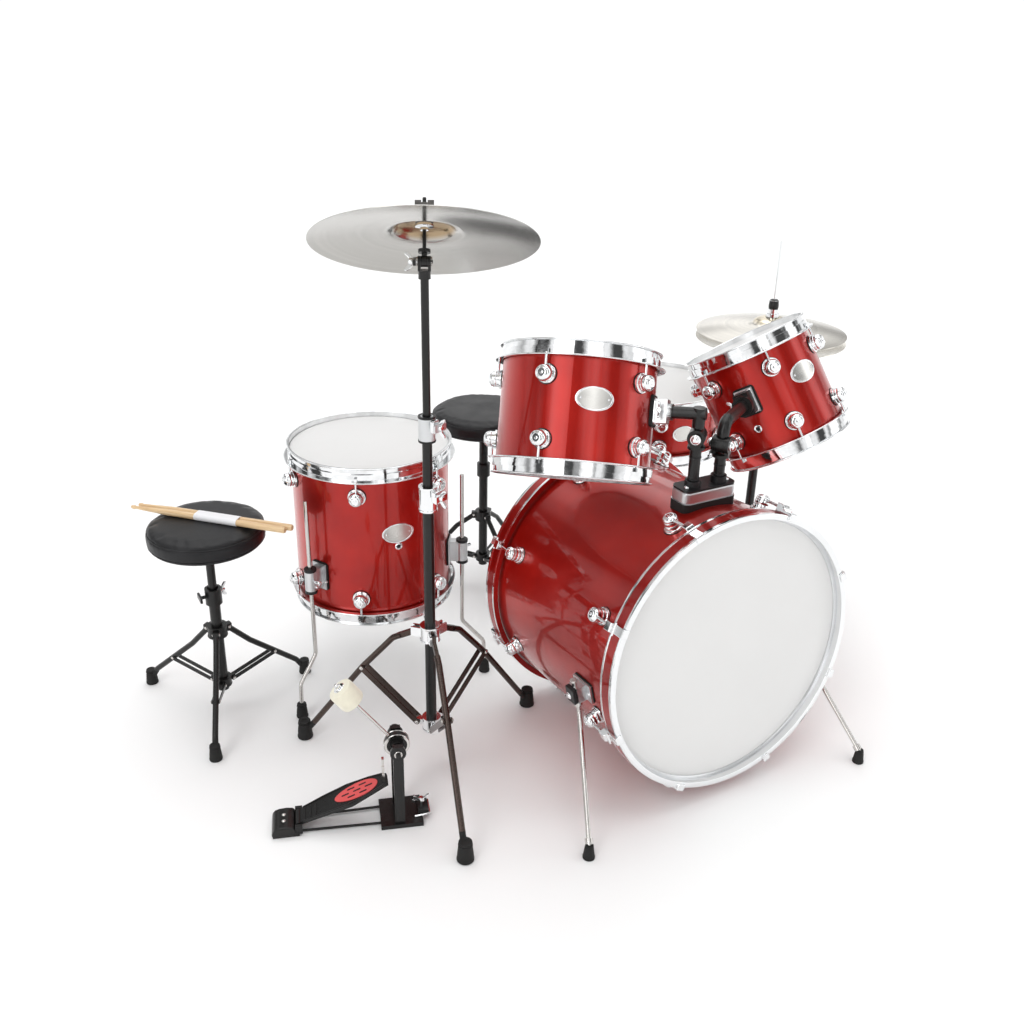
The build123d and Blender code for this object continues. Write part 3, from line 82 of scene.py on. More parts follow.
STOOL_SPOT, STOOL_RADIUS, STOOL_TOP = (-841.0, 521.0), 130.0, 474.0
REAR_STOOL_SPOT, REAR_STOOL_RADIUS, REAR_STOOL_TOP = (-28.0, 774.0), 143.0, 528.0
SEAT_THICKNESS = 62.0

# Tripods: spot, leg turns, foot reach, collar height, hub height, tube radius, leg radius,
# and how far down from the collar the bend is
TRIPODS = {
    "hihat_stand": (HIHAT_SPOT, (75.0, 195.0, 315.0), 230.0, 262.0, 120.0, 11.0, 6.5, 0.20),
    "snare_stand": ((300.0, 480.0), (0.0, 120.0, 240.0), 200.0, 220.0, 84.0, 11.0, 6.0, 0.20),
    "throne_stand": (STOOL_SPOT, (130.0, 10.0, 250.0), 210.0, 198.0, 62.0, 12.5, 6.5, 0.33),
    "rear_throne_stand": (REAR_STOOL_SPOT, (30.0, 150.0, 270.0), 205.0, 210.0, 80.0, 12.0, 6.5, 0.20),
}

PEDAL_HEEL, PEDAL_TURN, PEDAL_WIDTH = (-862.0, 58.0), -18.0, 62.0
PEDAL_SHAFT = (244.0, 0.0, 176.0)
PEDAL_HINGE = (46.0, 0.0, 17.0)
BOARD_SLOPE, BOARD_LENGTH = 22.0, 192.0
BEATER_LENGTH, BEATER_LEAN = 152.0, 37.0

STICK_RADIUS, STICK_MIDDLE, STICK_TURN = 7.2, (-831.0, 514.0), -45.0

SHELL_LOW, SHELL_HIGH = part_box("bass_shell")
LAYOUT_ORIGIN = Vector(((SHELL_LOW.x + SHELL_HIGH.x) / 2, (SHELL_LOW.y + SHELL_HIGH.y) / 2, 0))


# ---------------------------------------------------------------- places
def spot(x, y, z):
    """A layout point, in metres in the row frame."""
    return LAYOUT_ORIGIN + Vector((x, y, z)) * MM


def basis(origin, z_axis, x_axis):
    """A frame in metres from a layout point and two directions."""
    z_axis = Vector(z_axis).normalized()
    x_axis = Vector(x_axis)
    x_axis = (x_axis - z_axis * z_axis.dot(x_axis)).normalized()
    y_axis = z_axis.cross(x_axis)
    place = Matrix((x_axis, y_axis, z_axis)).transposed().to_4x4()
    place.translation = spot(*origin)
    return place


def upright(x, y, turn=0.0, z=0.0):
    """A frame that stands upright at a layout spot."""
    return basis((x, y, z), UP, (cos(radians(turn)), sin(radians(turn)), 0))


def bass_frame():
    """Z towards the front head, X up, Y towards -X of the layout."""
    tilt = radians(BASS_TILT)
    height = BASS_HOOP_RADIUS * cos(tilt) + (BASS_DEPTH / 2 + BASS_HOOP_PROUD) * sin(tilt)
    return basis((0, 0, height), (0, -cos(tilt), sin(tilt)), (0, sin(tilt), cos(tilt)))


def drum_frame(centre, axis):
    """Z along the drum's axis, X up the slope of its head."""
    axis = Vector(axis).normalized()
    slope = UP - axis * axis.z
    return basis(centre, axis, slope if slope.length > 0.01 else (1, 0, 0))


def crash_frame():
    """Z along the cymbal's stud, X along the tilter's hinge."""
    lean, towards = radians(CRASH_LEAN), radians(CRASH_LEAN_TOWARDS)
    normal = (sin(lean) * cos(towards), sin(lean) * sin(towards), cos(lean))
    return basis((*CRASH_SPOT, CRASH_TILTER), normal, (-sin(towards), cos(towards), 0))


def move(x, y, z):
    """A shift in millimetres inside a frame."""
    return Matrix.Translation((x, y, z))


def turn(angle, axis="Z"):
    """A turn in degrees inside a frame."""
    return Matrix.Rotation(radians(angle), 4, axis)


def on_wall(angle, out, height):
    """On a round wall: Z out of the wall, X up the wall, Y around it."""
    return turn(angle) @ move(out, 0, height) @ turn(90, "Y") @ turn(180)


def facing(start, end):
    """A frame in millimetres at start whose Z points at end."""
    start, end = Vector(start), Vector(end)
    place = (end - start).to_track_quat("Z", "Y").to_matrix().to_4x4()
    place.translation = start
    return place


# ---------------------------------------------------------------- meshes
class Shape:
    """Faces gathered in millimetres, made into one object at the end."""

    def __init__(self):
        self.points = []
        self.faces = []

    def add(self, points, faces, place=Matrix.Identity(4)):
        first = len(self.points)
        self.points += [place @ Vector(point) for point in points]
        self.faces += [[first + index for index in face] for face in faces]
        return self

    def lathe(self, outline, place=Matrix.Identity(4), steps=32, closed=False):
        """Turns (radius, height) points about Z. An end at radius 0 closes with one point."""
        rings, points, faces = [], [], []
        for radius, height in outline:
            if radius < 1e-6:
                rings.append([len(points)] * steps)
                points.append((0, 0, height))
                continue
            rings.append(list(range(len(points), len(points) + steps)))
            for step in range(steps):
                angle = 2 * pi * step / steps
                points.append((radius * cos(angle), radius * sin(angle), height))
        pairs = list(zip(rings, rings[1:]))
        if closed:
            pairs.append((rings[-1], rings[0]))
        for low, high in pairs:
            for step in range(steps):
                after = (step + 1) % steps
                corners = [low[step], low[after], high[after], high[step]]
                kept = [c for index, c in enumerate(corners) if c not in corners[:index]]
                if len(kept) > 2:
                    faces.append(kept)
        return self.add(points, faces, place)

    def tube(self, path, radius, place=Matrix.Identity(4), steps=12, loop=False, radii=None):
        """A round rod along a list of points."""
        path = [Vector(point) for point in path]
        count = len(path)
        points, faces = [], []
        side = None
        for index, centre in enumerate(path):
            before = path[index - 1] if index or loop else path[0]
            after = path[(index + 1) % count] if index < count - 1 or loop else path[-1]
            ahead = (after - before).normalized()
            if side is None:
                side = ahead.orthogonal().normalized()
            side = (side - ahead * ahead.dot(side)).normalized()
            other = ahead.cross(side)
            size = radii[index] if radii else radius
            for step in range(steps):
                angle = 2 * pi * step / steps
                points.append(centre + (side * cos(angle) + other * sin(angle)) * size)
        spans = count if loop else count - 1
        for index in range(spans):
            low, high = index * steps, (index + 1) % count * steps
            for step in range(steps):
                after = (step + 1) % steps
                faces.append([low + step, low + after, high + after, high + step])
        if not loop:
            faces.append(list(range(steps))[::-1])
            faces.append([(count - 1) * steps + step for step in range(steps)])
        return self.add(points, faces, place)

    def prism(self, outline, low, high, place=Matrix.Identity(4)):
        """An (x, y) outline raised from height low to high."""
        count = len(outline)
        points = [(x, y, low) for x, y in outline] + [(x, y, high) for x, y in outline]
        faces = [list(range(count))[::-1], list(range(count, 2 * count))]
        faces += [[i, (i + 1) % count, (i + 1) % count + count, i + count] for i in range(count)]
        return self.add(points, faces, place)

    def box(self, length, width, height, place=Matrix.Identity(4)):
        """A box standing on the XY plane of its place."""
        corners = [(-length / 2, -width / 2), (length / 2, -width / 2), (length / 2, width / 2),
                   (-length / 2, width / 2)]
        return self.prism(corners, 0, height, place)

    def make(self, name, body, material, place, bevel=0.0, sharp=35.0, smooth=0):
        """One object in metres that rides a body."""
        mesh = bpy.data.meshes.new(name)
        mesh.from_pydata([tuple(point * MM) for point in self.points], [], self.faces)
        work = bmesh.new()
        work.from_mesh(mesh)
        bmesh.ops.remove_doubles(work, verts=work.verts, dist=2e-6)
        bmesh.ops.recalc_face_normals(work, faces=work.faces)
        work.to_mesh(mesh)
        work.free()
        mesh.shade_smooth()
        mesh.set_sharp_from_angle(angle=radians(sharp))
        mesh.materials.append(material)
        piece = bpy.data.objects.new(name, mesh)
        bpy.context.scene.collection.objects.link(piece)
        piece.matrix_world = place
        if bevel:
            edge = piece.modifiers.new("edge", "BEVEL")
            edge.width = bevel * MM
            edge.segments = 3
            edge.limit_method = "ANGLE"
            edge.angle_limit = radians(40)
            edge.harden_normals = True
        if smooth:
            finer = piece.modifiers.new("finer", "SUBSURF")
            finer.levels = finer.render_levels = smooth
        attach(piece, body)
        return piece


def arc(centre, radius, start, end, steps):
    """Points along an arc, angles in degrees."""
    angles = [radians(start + (end - start) * index / steps) for index in range(steps + 1)]
    return [(centre[0] + radius * cos(a), centre[1] + radius * sin(a)) for a in angles]


def rounded_rectangle(length, width, corner, steps=6):
    """An (x, y) outline with round corners."""
    x, y = length / 2 - corner, width / 2 - corner
    return (arc((x, y), corner, 0, 90, steps) + arc((-x, y), corner, 90, 180, steps)
            + arc((-x, -y), corner, 180, 270, steps) + arc((x, -y), corner, 270, 360, steps))


def dome(radius, low, rise, steps=6):
    """Outline points from a rim at height low up to a crown on the axis."""
    return [(radius * cos(radians(90 * i / steps)), low + rise * sin(radians(90 * i / steps)))
            for i in range(steps + 1)]


# ---------------------------------------------------------------- materials
def shader_of(name, colour, roughness, metallic=0.0, **extras):
    """A new node material with its constant values set on the shader's own sockets."""
    material = bpy.data.materials.new(name)
    material.use_nodes = True
    tree = material.node_tree
    shader = tree.nodes["Principled BSDF"]
    shader.inputs["Base Color"].default_value = (*colour, 1)
    shader.inputs["Roughness"].default_value = roughness
    shader.inputs["Metallic"].default_value = metallic
    for socket, value in extras.items():
        shader.inputs[socket.replace("_", " ")].default_value = value
    return material, tree, shader


def noise(tree, scale, detail=4.0, stretch=(1, 1, 1), roughness=0.55):
    """A noise texture over the object's own coordinates, in cycles to the metre."""
    where = tree.nodes.new("ShaderNodeTexCoord")
    scaled = tree.nodes.new("ShaderNodeMapping")
    scaled.inputs["Scale"].default_value = stretch
    texture = tree.nodes.new("ShaderNodeTexNoise")
    texture.inputs["Scale"].default_value = scale
    texture.inputs["Detail"].default_value = detail
    texture.inputs["Roughness"].default_value = roughness
    tree.links.new(where.outputs["Object"], scaled.inputs["Vector"])
    tree.links.new(scaled.outputs["Vector"], texture.inputs["Vector"])
    return texture.outputs["Fac"]


def spread(tree, value, low, high, start=0.3, end=0.7):
    """Maps a texture's middle range onto low..high."""
    ramp = tree.nodes.new("ShaderNodeMapRange")
    ramp.inputs["From Min"].default_value = start
    ramp.inputs["From Max"].default_value = end
    ramp.inputs["To Min"].default_value = low
    ramp.inputs["To Max"].default_value = high
    tree.links.new(value, ramp.inputs["Value"])
    return ramp.outputs["Result"]


def blend_colours(tree, factor, first, second):
    """A mix of two colours by a texture."""
    mix = tree.nodes.new("ShaderNodeMix")
    mix.data_type = "RGBA"
    mix.inputs["A"].default_value = (*first, 1)
    mix.inputs["B"].default_value = (*second, 1)
    tree.links.new(factor, mix.inputs["Factor"])
    return mix.outputs["Result"]


def raise_surface(tree, shader, height, strength, distance):
    """Feeds a bump, its height in millimetres."""
    bump = tree.nodes.new("ShaderNodeBump")
    bump.inputs["Strength"].default_value = strength
    bump.inputs["Distance"].default_value = distance * MM
    tree.links.new(height, bump.inputs["Height"])
    tree.links.new(bump.outputs["Normal"], shader.inputs["Normal"])


def surface(name, colour, roughness, metallic=0.0, vary=0.08, patch=14.0, grain=900.0, bump=0.15,
            depth=0.05, stretch=(1, 1, 1), rough_vary=0.05, **extras):
    """A moulded, plated or coated surface: patchy colour and gloss, and a fine grain."""
    material, tree, shader = shader_of(name, colour, roughness, metallic, **extras)
    patches = noise(tree, patch, 3.0)
    darker = [c * (1 - vary) for c in colour]
    lighter = [min(1.0, c * (1 + vary)) for c in colour]
    tree.links.new(blend_colours(tree, spread(tree, patches, 0, 1), darker, lighter),
                   shader.inputs["Base Color"])
    fine = noise(tree, grain, 5.0, stretch)
    low, high = max(0.0, roughness - rough_vary), roughness + rough_vary
    tree.links.new(spread(tree, fine, low, high), shader.inputs["Roughness"])
    raise_surface(tree, shader, fine, bump, depth)
    return material


def candy_lacquer(name, colour, deep):
    """Red metallic wrap under clear lacquer: fine flakes, soft cloudy depth and a glossy coat."""
    material, tree, shader = shader_of(name, colour, 0.3, 0.72, Coat_Weight=0.75, Coat_Roughness=0.03,
                                       Coat_IOR=1.42)
    clouds = spread(tree, noise(tree, 6.0, 3.0), 0, 1)
    base = blend_colours(tree, clouds, deep, colour)
    flakes = noise(tree, 2600.0, 2.0)
    sparkle = tree.nodes.new("ShaderNodeMix")
    sparkle.data_type = "RGBA"
    sparkle.blend_type = "ADD"
    tree.links.new(spread(tree, flakes, 0.0, 0.16, 0.55, 0.8), sparkle.inputs["Factor"])
    tree.links.new(base, sparkle.inputs["A"])
    sparkle.inputs["B"].default_value = (0.85, 0.09, 0.02, 1)
    tree.links.new(sparkle.outputs["Result"], shader.inputs["Base Color"])
    tree.links.new(spread(tree, flakes, 0.24, 0.42), shader.inputs["Roughness"])
    raise_surface(tree, shader, flakes, 0.05, 0.02)
    return material


def lathed_metal(name, colour, bell_colour, bell_radius, grooves):
    """Cymbal alloy: fine turned grooves about the object's own axis, a bell of another colour and a faint
    patina.
    """
    material, tree, shader = shader_of(name, colour, 0.2, 1.0)
    where = tree.nodes.new("ShaderNodeTexCoord")
    flat = tree.nodes.new("ShaderNodeVectorMath")
    flat.operation = "MULTIPLY"
    flat.inputs[1].default_value = (1, 1, 0)
    out = tree.nodes.new("ShaderNodeVectorMath")
    out.operation = "LENGTH"
    tree.links.new(where.outputs["Object"], flat.inputs[0])
    tree.links.new(flat.outputs["Vector"], out.inputs[0])
    radius = out.outputs["Value"]
    row = tree.nodes.new("ShaderNodeCombineXYZ")
    tree.links.new(radius, row.inputs["X"])
    ridges = tree.nodes.new("ShaderNodeTexNoise")
    ridges.inputs["Scale"].default_value = grooves
    ridges.inputs["Detail"].default_value = 3.0
    tree.links.new(row.outputs["Vector"], ridges.inputs["Vector"])
    bands = tree.nodes.new("ShaderNodeTexNoise")
    bands.inputs["Scale"].default_value = grooves / 9
    tree.links.new(row.outputs["Vector"], bands.inputs["Vector"])
    patina = noise(tree, 9.0, 3.0)
    mixed = tree.nodes.new("ShaderNodeMath")
    mixed.operation = "MULTIPLY"
    tree.links.new(spread(tree, bands.outputs["Fac"], 0.35, 1.0), mixed.inputs[0])
    tree.links.new(spread(tree, patina, 0.6, 1.0), mixed.inputs[1])
    plate = blend_colours(tree, mixed.outputs["Value"], [c * 0.78 for c in colour], colour)
    bell = tree.nodes.new("ShaderNodeMix")
    bell.data_type = "RGBA"
    edge = (bell_radius - 3) * MM, (bell_radius + 3) * MM
    tree.links.new(spread(tree, radius, 0, 1, *edge), bell.inputs["Factor"])
    bell.inputs["A"].default_value = (*bell_colour, 1)
    tree.links.new(plate, bell.inputs["B"])
    tree.links.new(bell.outputs["Result"], shader.inputs["Base Color"])
    tree.links.new(spread(tree, ridges.outputs["Fac"], 0.12, 0.26), shader.inputs["Roughness"])
    raise_surface(tree, shader, ridges.outputs["Fac"], 0.22, 0.12)
    return material


def grained_vinyl(name, colour):
    """Upholstery vinyl with a pebbled grain."""
    material, tree, shader = shader_of(name, colour, 0.42, 0.0, Specular_IOR_Level=0.3)
    where = tree.nodes.new("ShaderNodeTexCoord")
    pebbles = tree.nodes.new("ShaderNodeTexVoronoi")
    pebbles.inputs["Scale"].default_value = 620.0
    tree.links.new(where.outputs["Object"], pebbles.inputs["Vector"])
    shade = noise(tree, 16.0, 3.0)
    lighter = [c * 1.7 + 0.002 for c in colour]
    tree.links.new(blend_colours(tree, spread(tree, shade, 0, 1), colour, lighter),
                   shader.inputs["Base Color"])
    tree.links.new(spread(tree, shade, 0.36, 0.5), shader.inputs["Roughness"])
    raise_surface(tree, shader, pebbles.outputs["Distance"], 0.35, 0.12)
    return material


def turned_wood(name, light, dark, angle):
    """Pale maple with long straight grain along a direction in plan."""
    material, tree, shader = shader_of(name, light, 0.38, 0.0, Coat_Weight=0.3, Coat_Roughness=0.2)
    where = tree.nodes.new("ShaderNodeTexCoord")
    scaled = tree.nodes.new("ShaderNodeMapping")
    scaled.vector_type = "TEXTURE"
    scaled.inputs["Rotation"].default_value = (0, 0, radians(angle))
    scaled.inputs["Scale"].default_value = (0.12, 0.004, 0.004)
    grain = tree.nodes.new("ShaderNodeTexNoise")
    grain.inputs["Scale"].default_value = 1.6
    grain.inputs["Detail"].default_value = 6.0
    tree.links.new(where.outputs["Object"], scaled.inputs["Vector"])
    tree.links.new(scaled.outputs["Vector"], grain.inputs["Vector"])
    tree.links.new(blend_colours(tree, spread(tree, grain.outputs["Fac"], 0, 1), dark, light),
                   shader.inputs["Base Color"])
    tree.links.new(spread(tree, grain.outputs["Fac"], 0.46, 0.34), shader.inputs["Roughness"])
    raise_surface(tree, shader, grain.outputs["Fac"], 0.15, 0.08)
    return material


RED = candy_lacquer("red_lacquer", (0.53, 0.012, 0.005), (0.34, 0.005, 0.003))
HOOP_RED = candy_lacquer("red_hoop_lacquer", (0.45, 0.010, 0.006), (0.30, 0.004, 0.003))
HEAD = surface("head_film", (0.745, 0.742, 0.735), 0.42, vary=0.015, patch=5.0, grain=1500.0, bump=0.08,
               depth=0.03)
CHROME = surface("chrome_plate", (0.86, 0.87, 0.88), 0.07, 1.0, vary=0.03, grain=260.0, bump=0.03,
                 depth=0.05, rough_vary=0.03)
HOOP_CHROME = surface("hoop_chrome", (0.84, 0.85, 0.86), 0.06, 1.0, vary=0.10, patch=45.0, grain=95.0,
                      bump=0.3, depth=0.35,
                      rough_vary=0.04)
SATIN = surface("satin_alloy", (0.66, 0.67, 0.68), 0.34, 1.0, vary=0.06, grain=1100.0, bump=0.12, depth=0.04)
STEEL = surface("bright_steel", (0.62, 0.60, 0.58), 0.2, 1.0, vary=0.06, grain=800.0, bump=0.05, depth=0.03)
BLACK_PLASTIC = surface("black_plastic", (0.011, 0.011, 0.012), 0.4, vary=0.25, grain=1800.0, bump=0.25,
                        depth=0.05,
                        Specular_IOR_Level=0.35)
BLACK_COAT = surface("black_coat", (0.009, 0.0088, 0.0085), 0.3, vary=0.25, grain=700.0, bump=0.1, depth=0.04,
                     Coat_Weight=0.12, Coat_Roughness=0.15, Specular_IOR_Level=0.32)
DARK_NICKEL = surface("dark_nickel", (0.075, 0.055, 0.048), 0.26, 0.85, vary=0.15, grain=600.0, bump=0.06,
                      depth=0.03)
RUBBER = surface("black_rubber", (0.013, 0.0125, 0.012), 0.66, vary=0.3, grain=1400.0, bump=0.4, depth=0.08,
                 Specular_IOR_Level=0.3)
FELT_CREAM = surface("cream_felt", (0.80, 0.76, 0.62), 0.95, vary=0.05, patch=60.0, grain=1700.0, bump=0.8,
                     depth=0.3,
                     Sheen_Weight=0.5, Sheen_Roughness=0.5)
FELT_GREY = surface("grey_felt", (0.11, 0.105, 0.10), 0.95, vary=0.2, patch=90.0, grain=1700.0, bump=0.7,
                    depth=0.25,
                    Sheen_Weight=0.3, Sheen_Roughness=0.5)
PAPER = surface("white_paper", (0.82, 0.82, 0.84), 0.8, vary=0.02, grain=1200.0, bump=0.2, depth=0.04)
PEDAL_PAD = surface("red_pad", (0.72, 0.085, 0.085), 0.5, vary=0.05, grain=1500.0, bump=0.25, depth=0.05)
BADGE = surface("badge_plate", (0.70, 0.69, 0.66), 0.28, 1.0, vary=0.05, grain=1400.0, bump=0.1, depth=0.03)
CRASH_METAL = lathed_metal("crash_alloy", (0.60, 0.59, 0.565), (0.40, 0.30, 0.19), 54.0, 900.0)
HIHAT_METAL = lathed_metal("hihat_alloy", (0.76, 0.73, 0.67), (0.70, 0.63, 0.50), 44.0, 900.0)
VINYL = grained_vinyl("black_vinyl", (0.007, 0.007, 0.008))
STICK_WOOD = turned_wood("stick_maple", (0.80, 0.60, 0.36), (0.62, 0.40, 0.20), STICK_TURN)


# ---------------------------------------------------------------- finishing the CAD nodes
def loose_parts(mesh):
    """For each face the number of its loose part, and each part's lowest and highest corner in layout mm."""
    where = np.empty(len(mesh.vertices) * 3)
    mesh.vertices.foreach_get("co", where)
    where = where.reshape(-1, 3)
    _, point = np.unique(np.round(where * 1e5).astype(np.int64), axis=0, return_inverse=True)
    corner = np.empty(len(mesh.loops), np.int64)
    mesh.loops.foreach_get("vertex_index", corner)
    corner = point.ravel()[corner].reshape(-1, 3)
    label = np.arange(point.max() + 1)
    while True:
        lowest = np.repeat(label[corner].min(axis=1), 3)
        joined = label.copy()
        np.minimum.at(joined, corner.ravel(), lowest)
        joined = joined[joined]
        if (joined == label).all():
            break
        label = joined
    _, part = np.unique(label[corner[:, 0]], return_inverse=True)
    part = part.ravel()
    layout = (where - np.array(LAYOUT_ORIGIN)) / MM
    vertex_part = np.empty(len(where), np.int64)
    loop_vertex = np.empty(len(mesh.loops), np.int64)
    mesh.loops.foreach_get("vertex_index", loop_vertex)
    vertex_part[loop_vertex] = np.repeat(part, 3)
    boxes = []
    for index in range(part.max() + 1):
        own = layout[vertex_part == index]
        boxes.append((Vector(own.min(0)), Vector(own.max(0))))
    return part, boxes


def finish_node(node, choose):
    """Smooths a CAD node and gives each of its loose parts a material."""
    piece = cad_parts[node]
    mesh = piece.data
    mesh.shade_smooth()
    mesh.set_sharp_from_angle(angle=radians(32))
    mesh.materials.clear()
    if not callable(choose):
        mesh.materials.append(choose)
        mesh.polygons.foreach_set("material_index", np.zeros(len(mesh.polygons), np.int32))
        return
    part, boxes = loose_parts(mesh)
    wanted = [choose(low, high) for low, high in boxes]
    kinds = list(dict.fromkeys(wanted))
    for material in kinds:
        mesh.materials.append(material)
    index = np.array([kinds.index(material) for material in wanted], np.int32)
    mesh.polygons.foreach_set("material_index", index[part])


def paint(node, materials, pick):
    """Smooths a CAD node and paints each face by where its middle is in the layout, in millimetres."""
    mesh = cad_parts[node].data
    finish_node(node, materials[0])
    for material in materials[1:]:
        mesh.materials.append(material)
    middle = np.empty(len(mesh.polygons) * 3)
    mesh.polygons.foreach_get("center", middle)
    middle = (middle.reshape(-1, 3) - np.array(LAYOUT_ORIGIN)) / MM
    mesh.polygons.foreach_set("material_index", pick(middle).astype(np.int32))


def off_axis(points, origin, axis):
    """How far points are along an axis and away from it."""
    axis = np.array(Vector(axis).normalized())
    away = points - np.array(origin)
    along = away @ axis
    return along, np.linalg.norm(away - along[:, None] * axis, axis=1)


def paint_feet(node, top, rest, centre=None, reach=0.0):
    """Rubber below a height and beyond a distance from the stand's middle."""
    def pick(middle):
        out = np.hypot(*(middle[:, :2] - np.array(centre)).T) if centre else reach + middle[:, 2] * 0
        return (middle[:, 2] < top) & (out >= reach)
    paint(node, (rest, RUBBER), pick)


def paint_tom_bracket(side):
    """The pad on the shell and the clamp that stands off it."""
    _, radius, _, _, _, _, centre, axis = DRUMS[f"{side}_tom"]
    finishes = (BLACK_PLASTIC, SATIN, BLACK_COAT) if side == "left" else (SATIN, BLACK_PLASTIC, BLACK_COAT)

    def pick(middle):
        out = off_axis(middle, centre, axis)[1] - radius
        return (out > 6.5).astype(int) + (out > 36.0)
    paint(f"{side}_tom_bracket", finishes, pick)


def paint_beater():
    """The felt head on its coated rod and shaft."""
    place, _, head, ahead = beater_geometry()
    origin = place @ (head * MM)
    origin = (origin - LAYOUT_ORIGIN) / MM
    direction = place.to_3x3() @ ahead

    def pick(middle):
        along, out = off_axis(middle, origin, direction)
        return (np.abs(along) < 21.2) & (out > 3.4) & (out < 27)
    paint("pedal_beater", (BLACK_COAT, FELT_CREAM), pick)


def finish_nodes():
    """Every CAD node that stays in view."""
    for name in DRUMS:
        finish_node(f"{name}_shell", RED)
        finish_node(f"{name}_hoops", HOOP_CHROME)
        finish_node(f"{name}_heads", HEAD)
        finish_node(f"{name}_lugs", CHROME)
    finish_node("bass_shell", RED)
    finish_node("bass_hoops", HOOP_RED)
    finish_node("bass_heads", HEAD)
    finish_node("bass_lugs", CHROME)
    finish_node("bass_spur_brackets", SATIN)
    for side in ("left", "right"):
        paint_feet(f"bass_spur_{side}", 30.0, STEEL)
        finish_node(f"{side}_tom_arm", BLACK_COAT)
        paint_tom_bracket(side)
    paint("tom_mount_base", (RUBBER, SATIN, BLACK_PLASTIC),
          lambda middle: (middle[:, 2] > 609.9).astype(int) + (middle[:, 2] > HOLDER_TOP - 3.8))
    finish_node("floor_tom_leg_brackets", SATIN)
    paint_feet("floor_tom_legs", 34.0, STEEL)
    finish_node("snare_wires", STEEL)
    finish_node("snare_throw_off", CHROME)
    for name, (centre, _, reach, *_) in TRIPODS.items():
        paint_feet(name, 36.0, BLACK_COAT, centre, reach - 20)
    finish_node("hihat_rod", lambda low, high: FELT_GREY if 14 < high.x - low.x and high.z - low.z < 9
                else CHROME)
    finish_node("hihat_footboard", BLACK_COAT)
    finish_node("crash_base_tube", lambda low, high: BLACK_COAT if high.z - low.z > 200 else CHROME)
    finish_node("crash_collar", CHROME)
    finish_node("crash_mid_tube", lambda low, high: BLACK_COAT if high.z - low.z > 200 else SATIN)
    finish_node("crash_top_tube", BLACK_COAT)
    finish_node("crash_tilter", BLACK_COAT)
    finish_node("crash_felts", lambda low, high: FELT_GREY if (high - low).x > 26 and (high - low).z < 22
                else CHROME)
    for index in (1, 2, 3):
        paint_feet(f"crash_leg_{index}", 42.0, DARK_NICKEL)
        finish_node(f"crash_brace_{index}", DARK_NICKEL)
    finish_node("throne_post", BLACK_COAT)
    finish_node("pedal_frame", pedal_frame_finish)
    finish_node("pedal_footboard", lambda low, high: BLACK_COAT if (high - low).x > 60 else STEEL)
    paint_beater()
    finish_node("drumsticks", STICK_WOOD)


def pedal_frame_finish(low, high):
    """Bright spring, coated castings."""
    size = high - low
    if size.z > 60 and size.x < 20:
        return STEEL
    return BLACK_COAT


# ---------------------------------------------------------------- drums' trim
def lug_outline(radius, height):
    """A domed casing with a stepped foot and two turned rings."""
    return [(radius + 3.4, 0.0), (radius + 3.4, 4.6), (radius + 2.2, 6.4), (radius + 0.7, 7.2),
            (radius + 0.7, height * 0.42),
            (radius - 0.1, height * 0.46), (radius + 0.6, height * 0.52), (radius + 0.5, height * 0.66),
            (radius - 1.6, height * 0.84), (radius - 5.4, height * 0.97), (radius - 7.2, height + 0.6),
            (radius - 7.6, height - 0.6), (3.6, height - 0.6), (3.2, height + 0.9), (0, height + 1.4)]


def lug_trim(name, body, place, radius, depth, count, first, drop, cap, tall):
    """Domed casings over the lugs and a black gasket under each, at both ends of a drum."""
    casings, gaskets = Shape(), Shape()
    for end in (-1, 1):
        for index in range(count):
            wall = on_wall(first + 360 / count * index, radius - 1.5, end * (depth / 2 - drop))
            casings.lathe(lug_outline(cap, tall), wall, 40)
            gaskets.lathe([(cap + 4.6, -2), (cap + 4.6, 1.9), (cap + 4.0, 2.5), (cap + 1, 2.5)], wall, 32)
    casings.make(f"{name}_lug_casings", body, CHROME, place)
    gaskets.make(f"{name}_lug_gaskets", body, RUBBER, place)


def oval_plate(name, body, place, radius, angle, height, wide, tall):
    """A blank oval badge that follows the shell, with a raised rim and a domed pin at each side."""
    rings = [(1.0, -0.6), (1.0, 1.2), (0.96, 1.7), (0.90, 1.5), (0.87, 0.9), (0.5, 1.0), (0.0, 1.05)]
    steps = 64

    def bent(u, v, out):
        swing = u / radius
        return ((radius + out) * cos(swing), (radius + out) * sin(swing), v)

    rim, field = Shape(), Shape()
    for shape, kept in ((rim, rings[:5]), (field, rings[4:])):
        points, faces = [], []
        for scale, out in kept:
            for step in range(steps):
                a = 2 * pi * step / steps
                points.append(bent(wide / 2 * scale * cos(a), tall / 2 * scale * sin(a), out))
        for row in range(len(kept) - 1):
            for step in range(steps):
                after = (step + 1) % steps
                faces.append([row * steps + step, row * steps + after,
                              (row + 1) * steps + after, (row + 1) * steps + step])
        shape.add(points, faces, turn(angle) @ move(0, 0, height))
    for side in (-1, 1):
        pin = turn(angle) @ move(0, 0, height) @ on_wall(degrees(side * wide * 0.36 / radius), radius + 0.8,
                                                         0)
        rim.lathe([(2.4, 0), (2.4, 0.6), *dome(2.0, 0.6, 0.9)], pin, 16)
    rim.make(f"{name}_badge_rim", body, CHROME, place, sharp=60)
    field.make(f"{name}_badge_field", body, BADGE, place, sharp=60)


def vent(name, body, place, radius, angle, height):
    """A bright eyelet round the vent hole, and a black disc in the hole as painted shade of the drum's dark
    inside.
    """
    wall = on_wall(angle, radius, height)
    ring = [(8.5, -1.5), (8.5, 0.7), (7.6, 1.7), (5.6, 1.9), (4.6, 1.2), (4.4, -1.5)]
    Shape().lathe(ring, wall, 32).make(f"{name}_vent_eyelet", body, CHROME, place)
    # A black disc just proud of the shell fills the hole: painted shade of the drum's inside, not a real
    # part.
    Shape().lathe([(4.5, 0.3), (0, 0.3)], wall, 24).make(f"{name}_vent_hole_shade_disc", body, BLACK_PLASTIC, place)


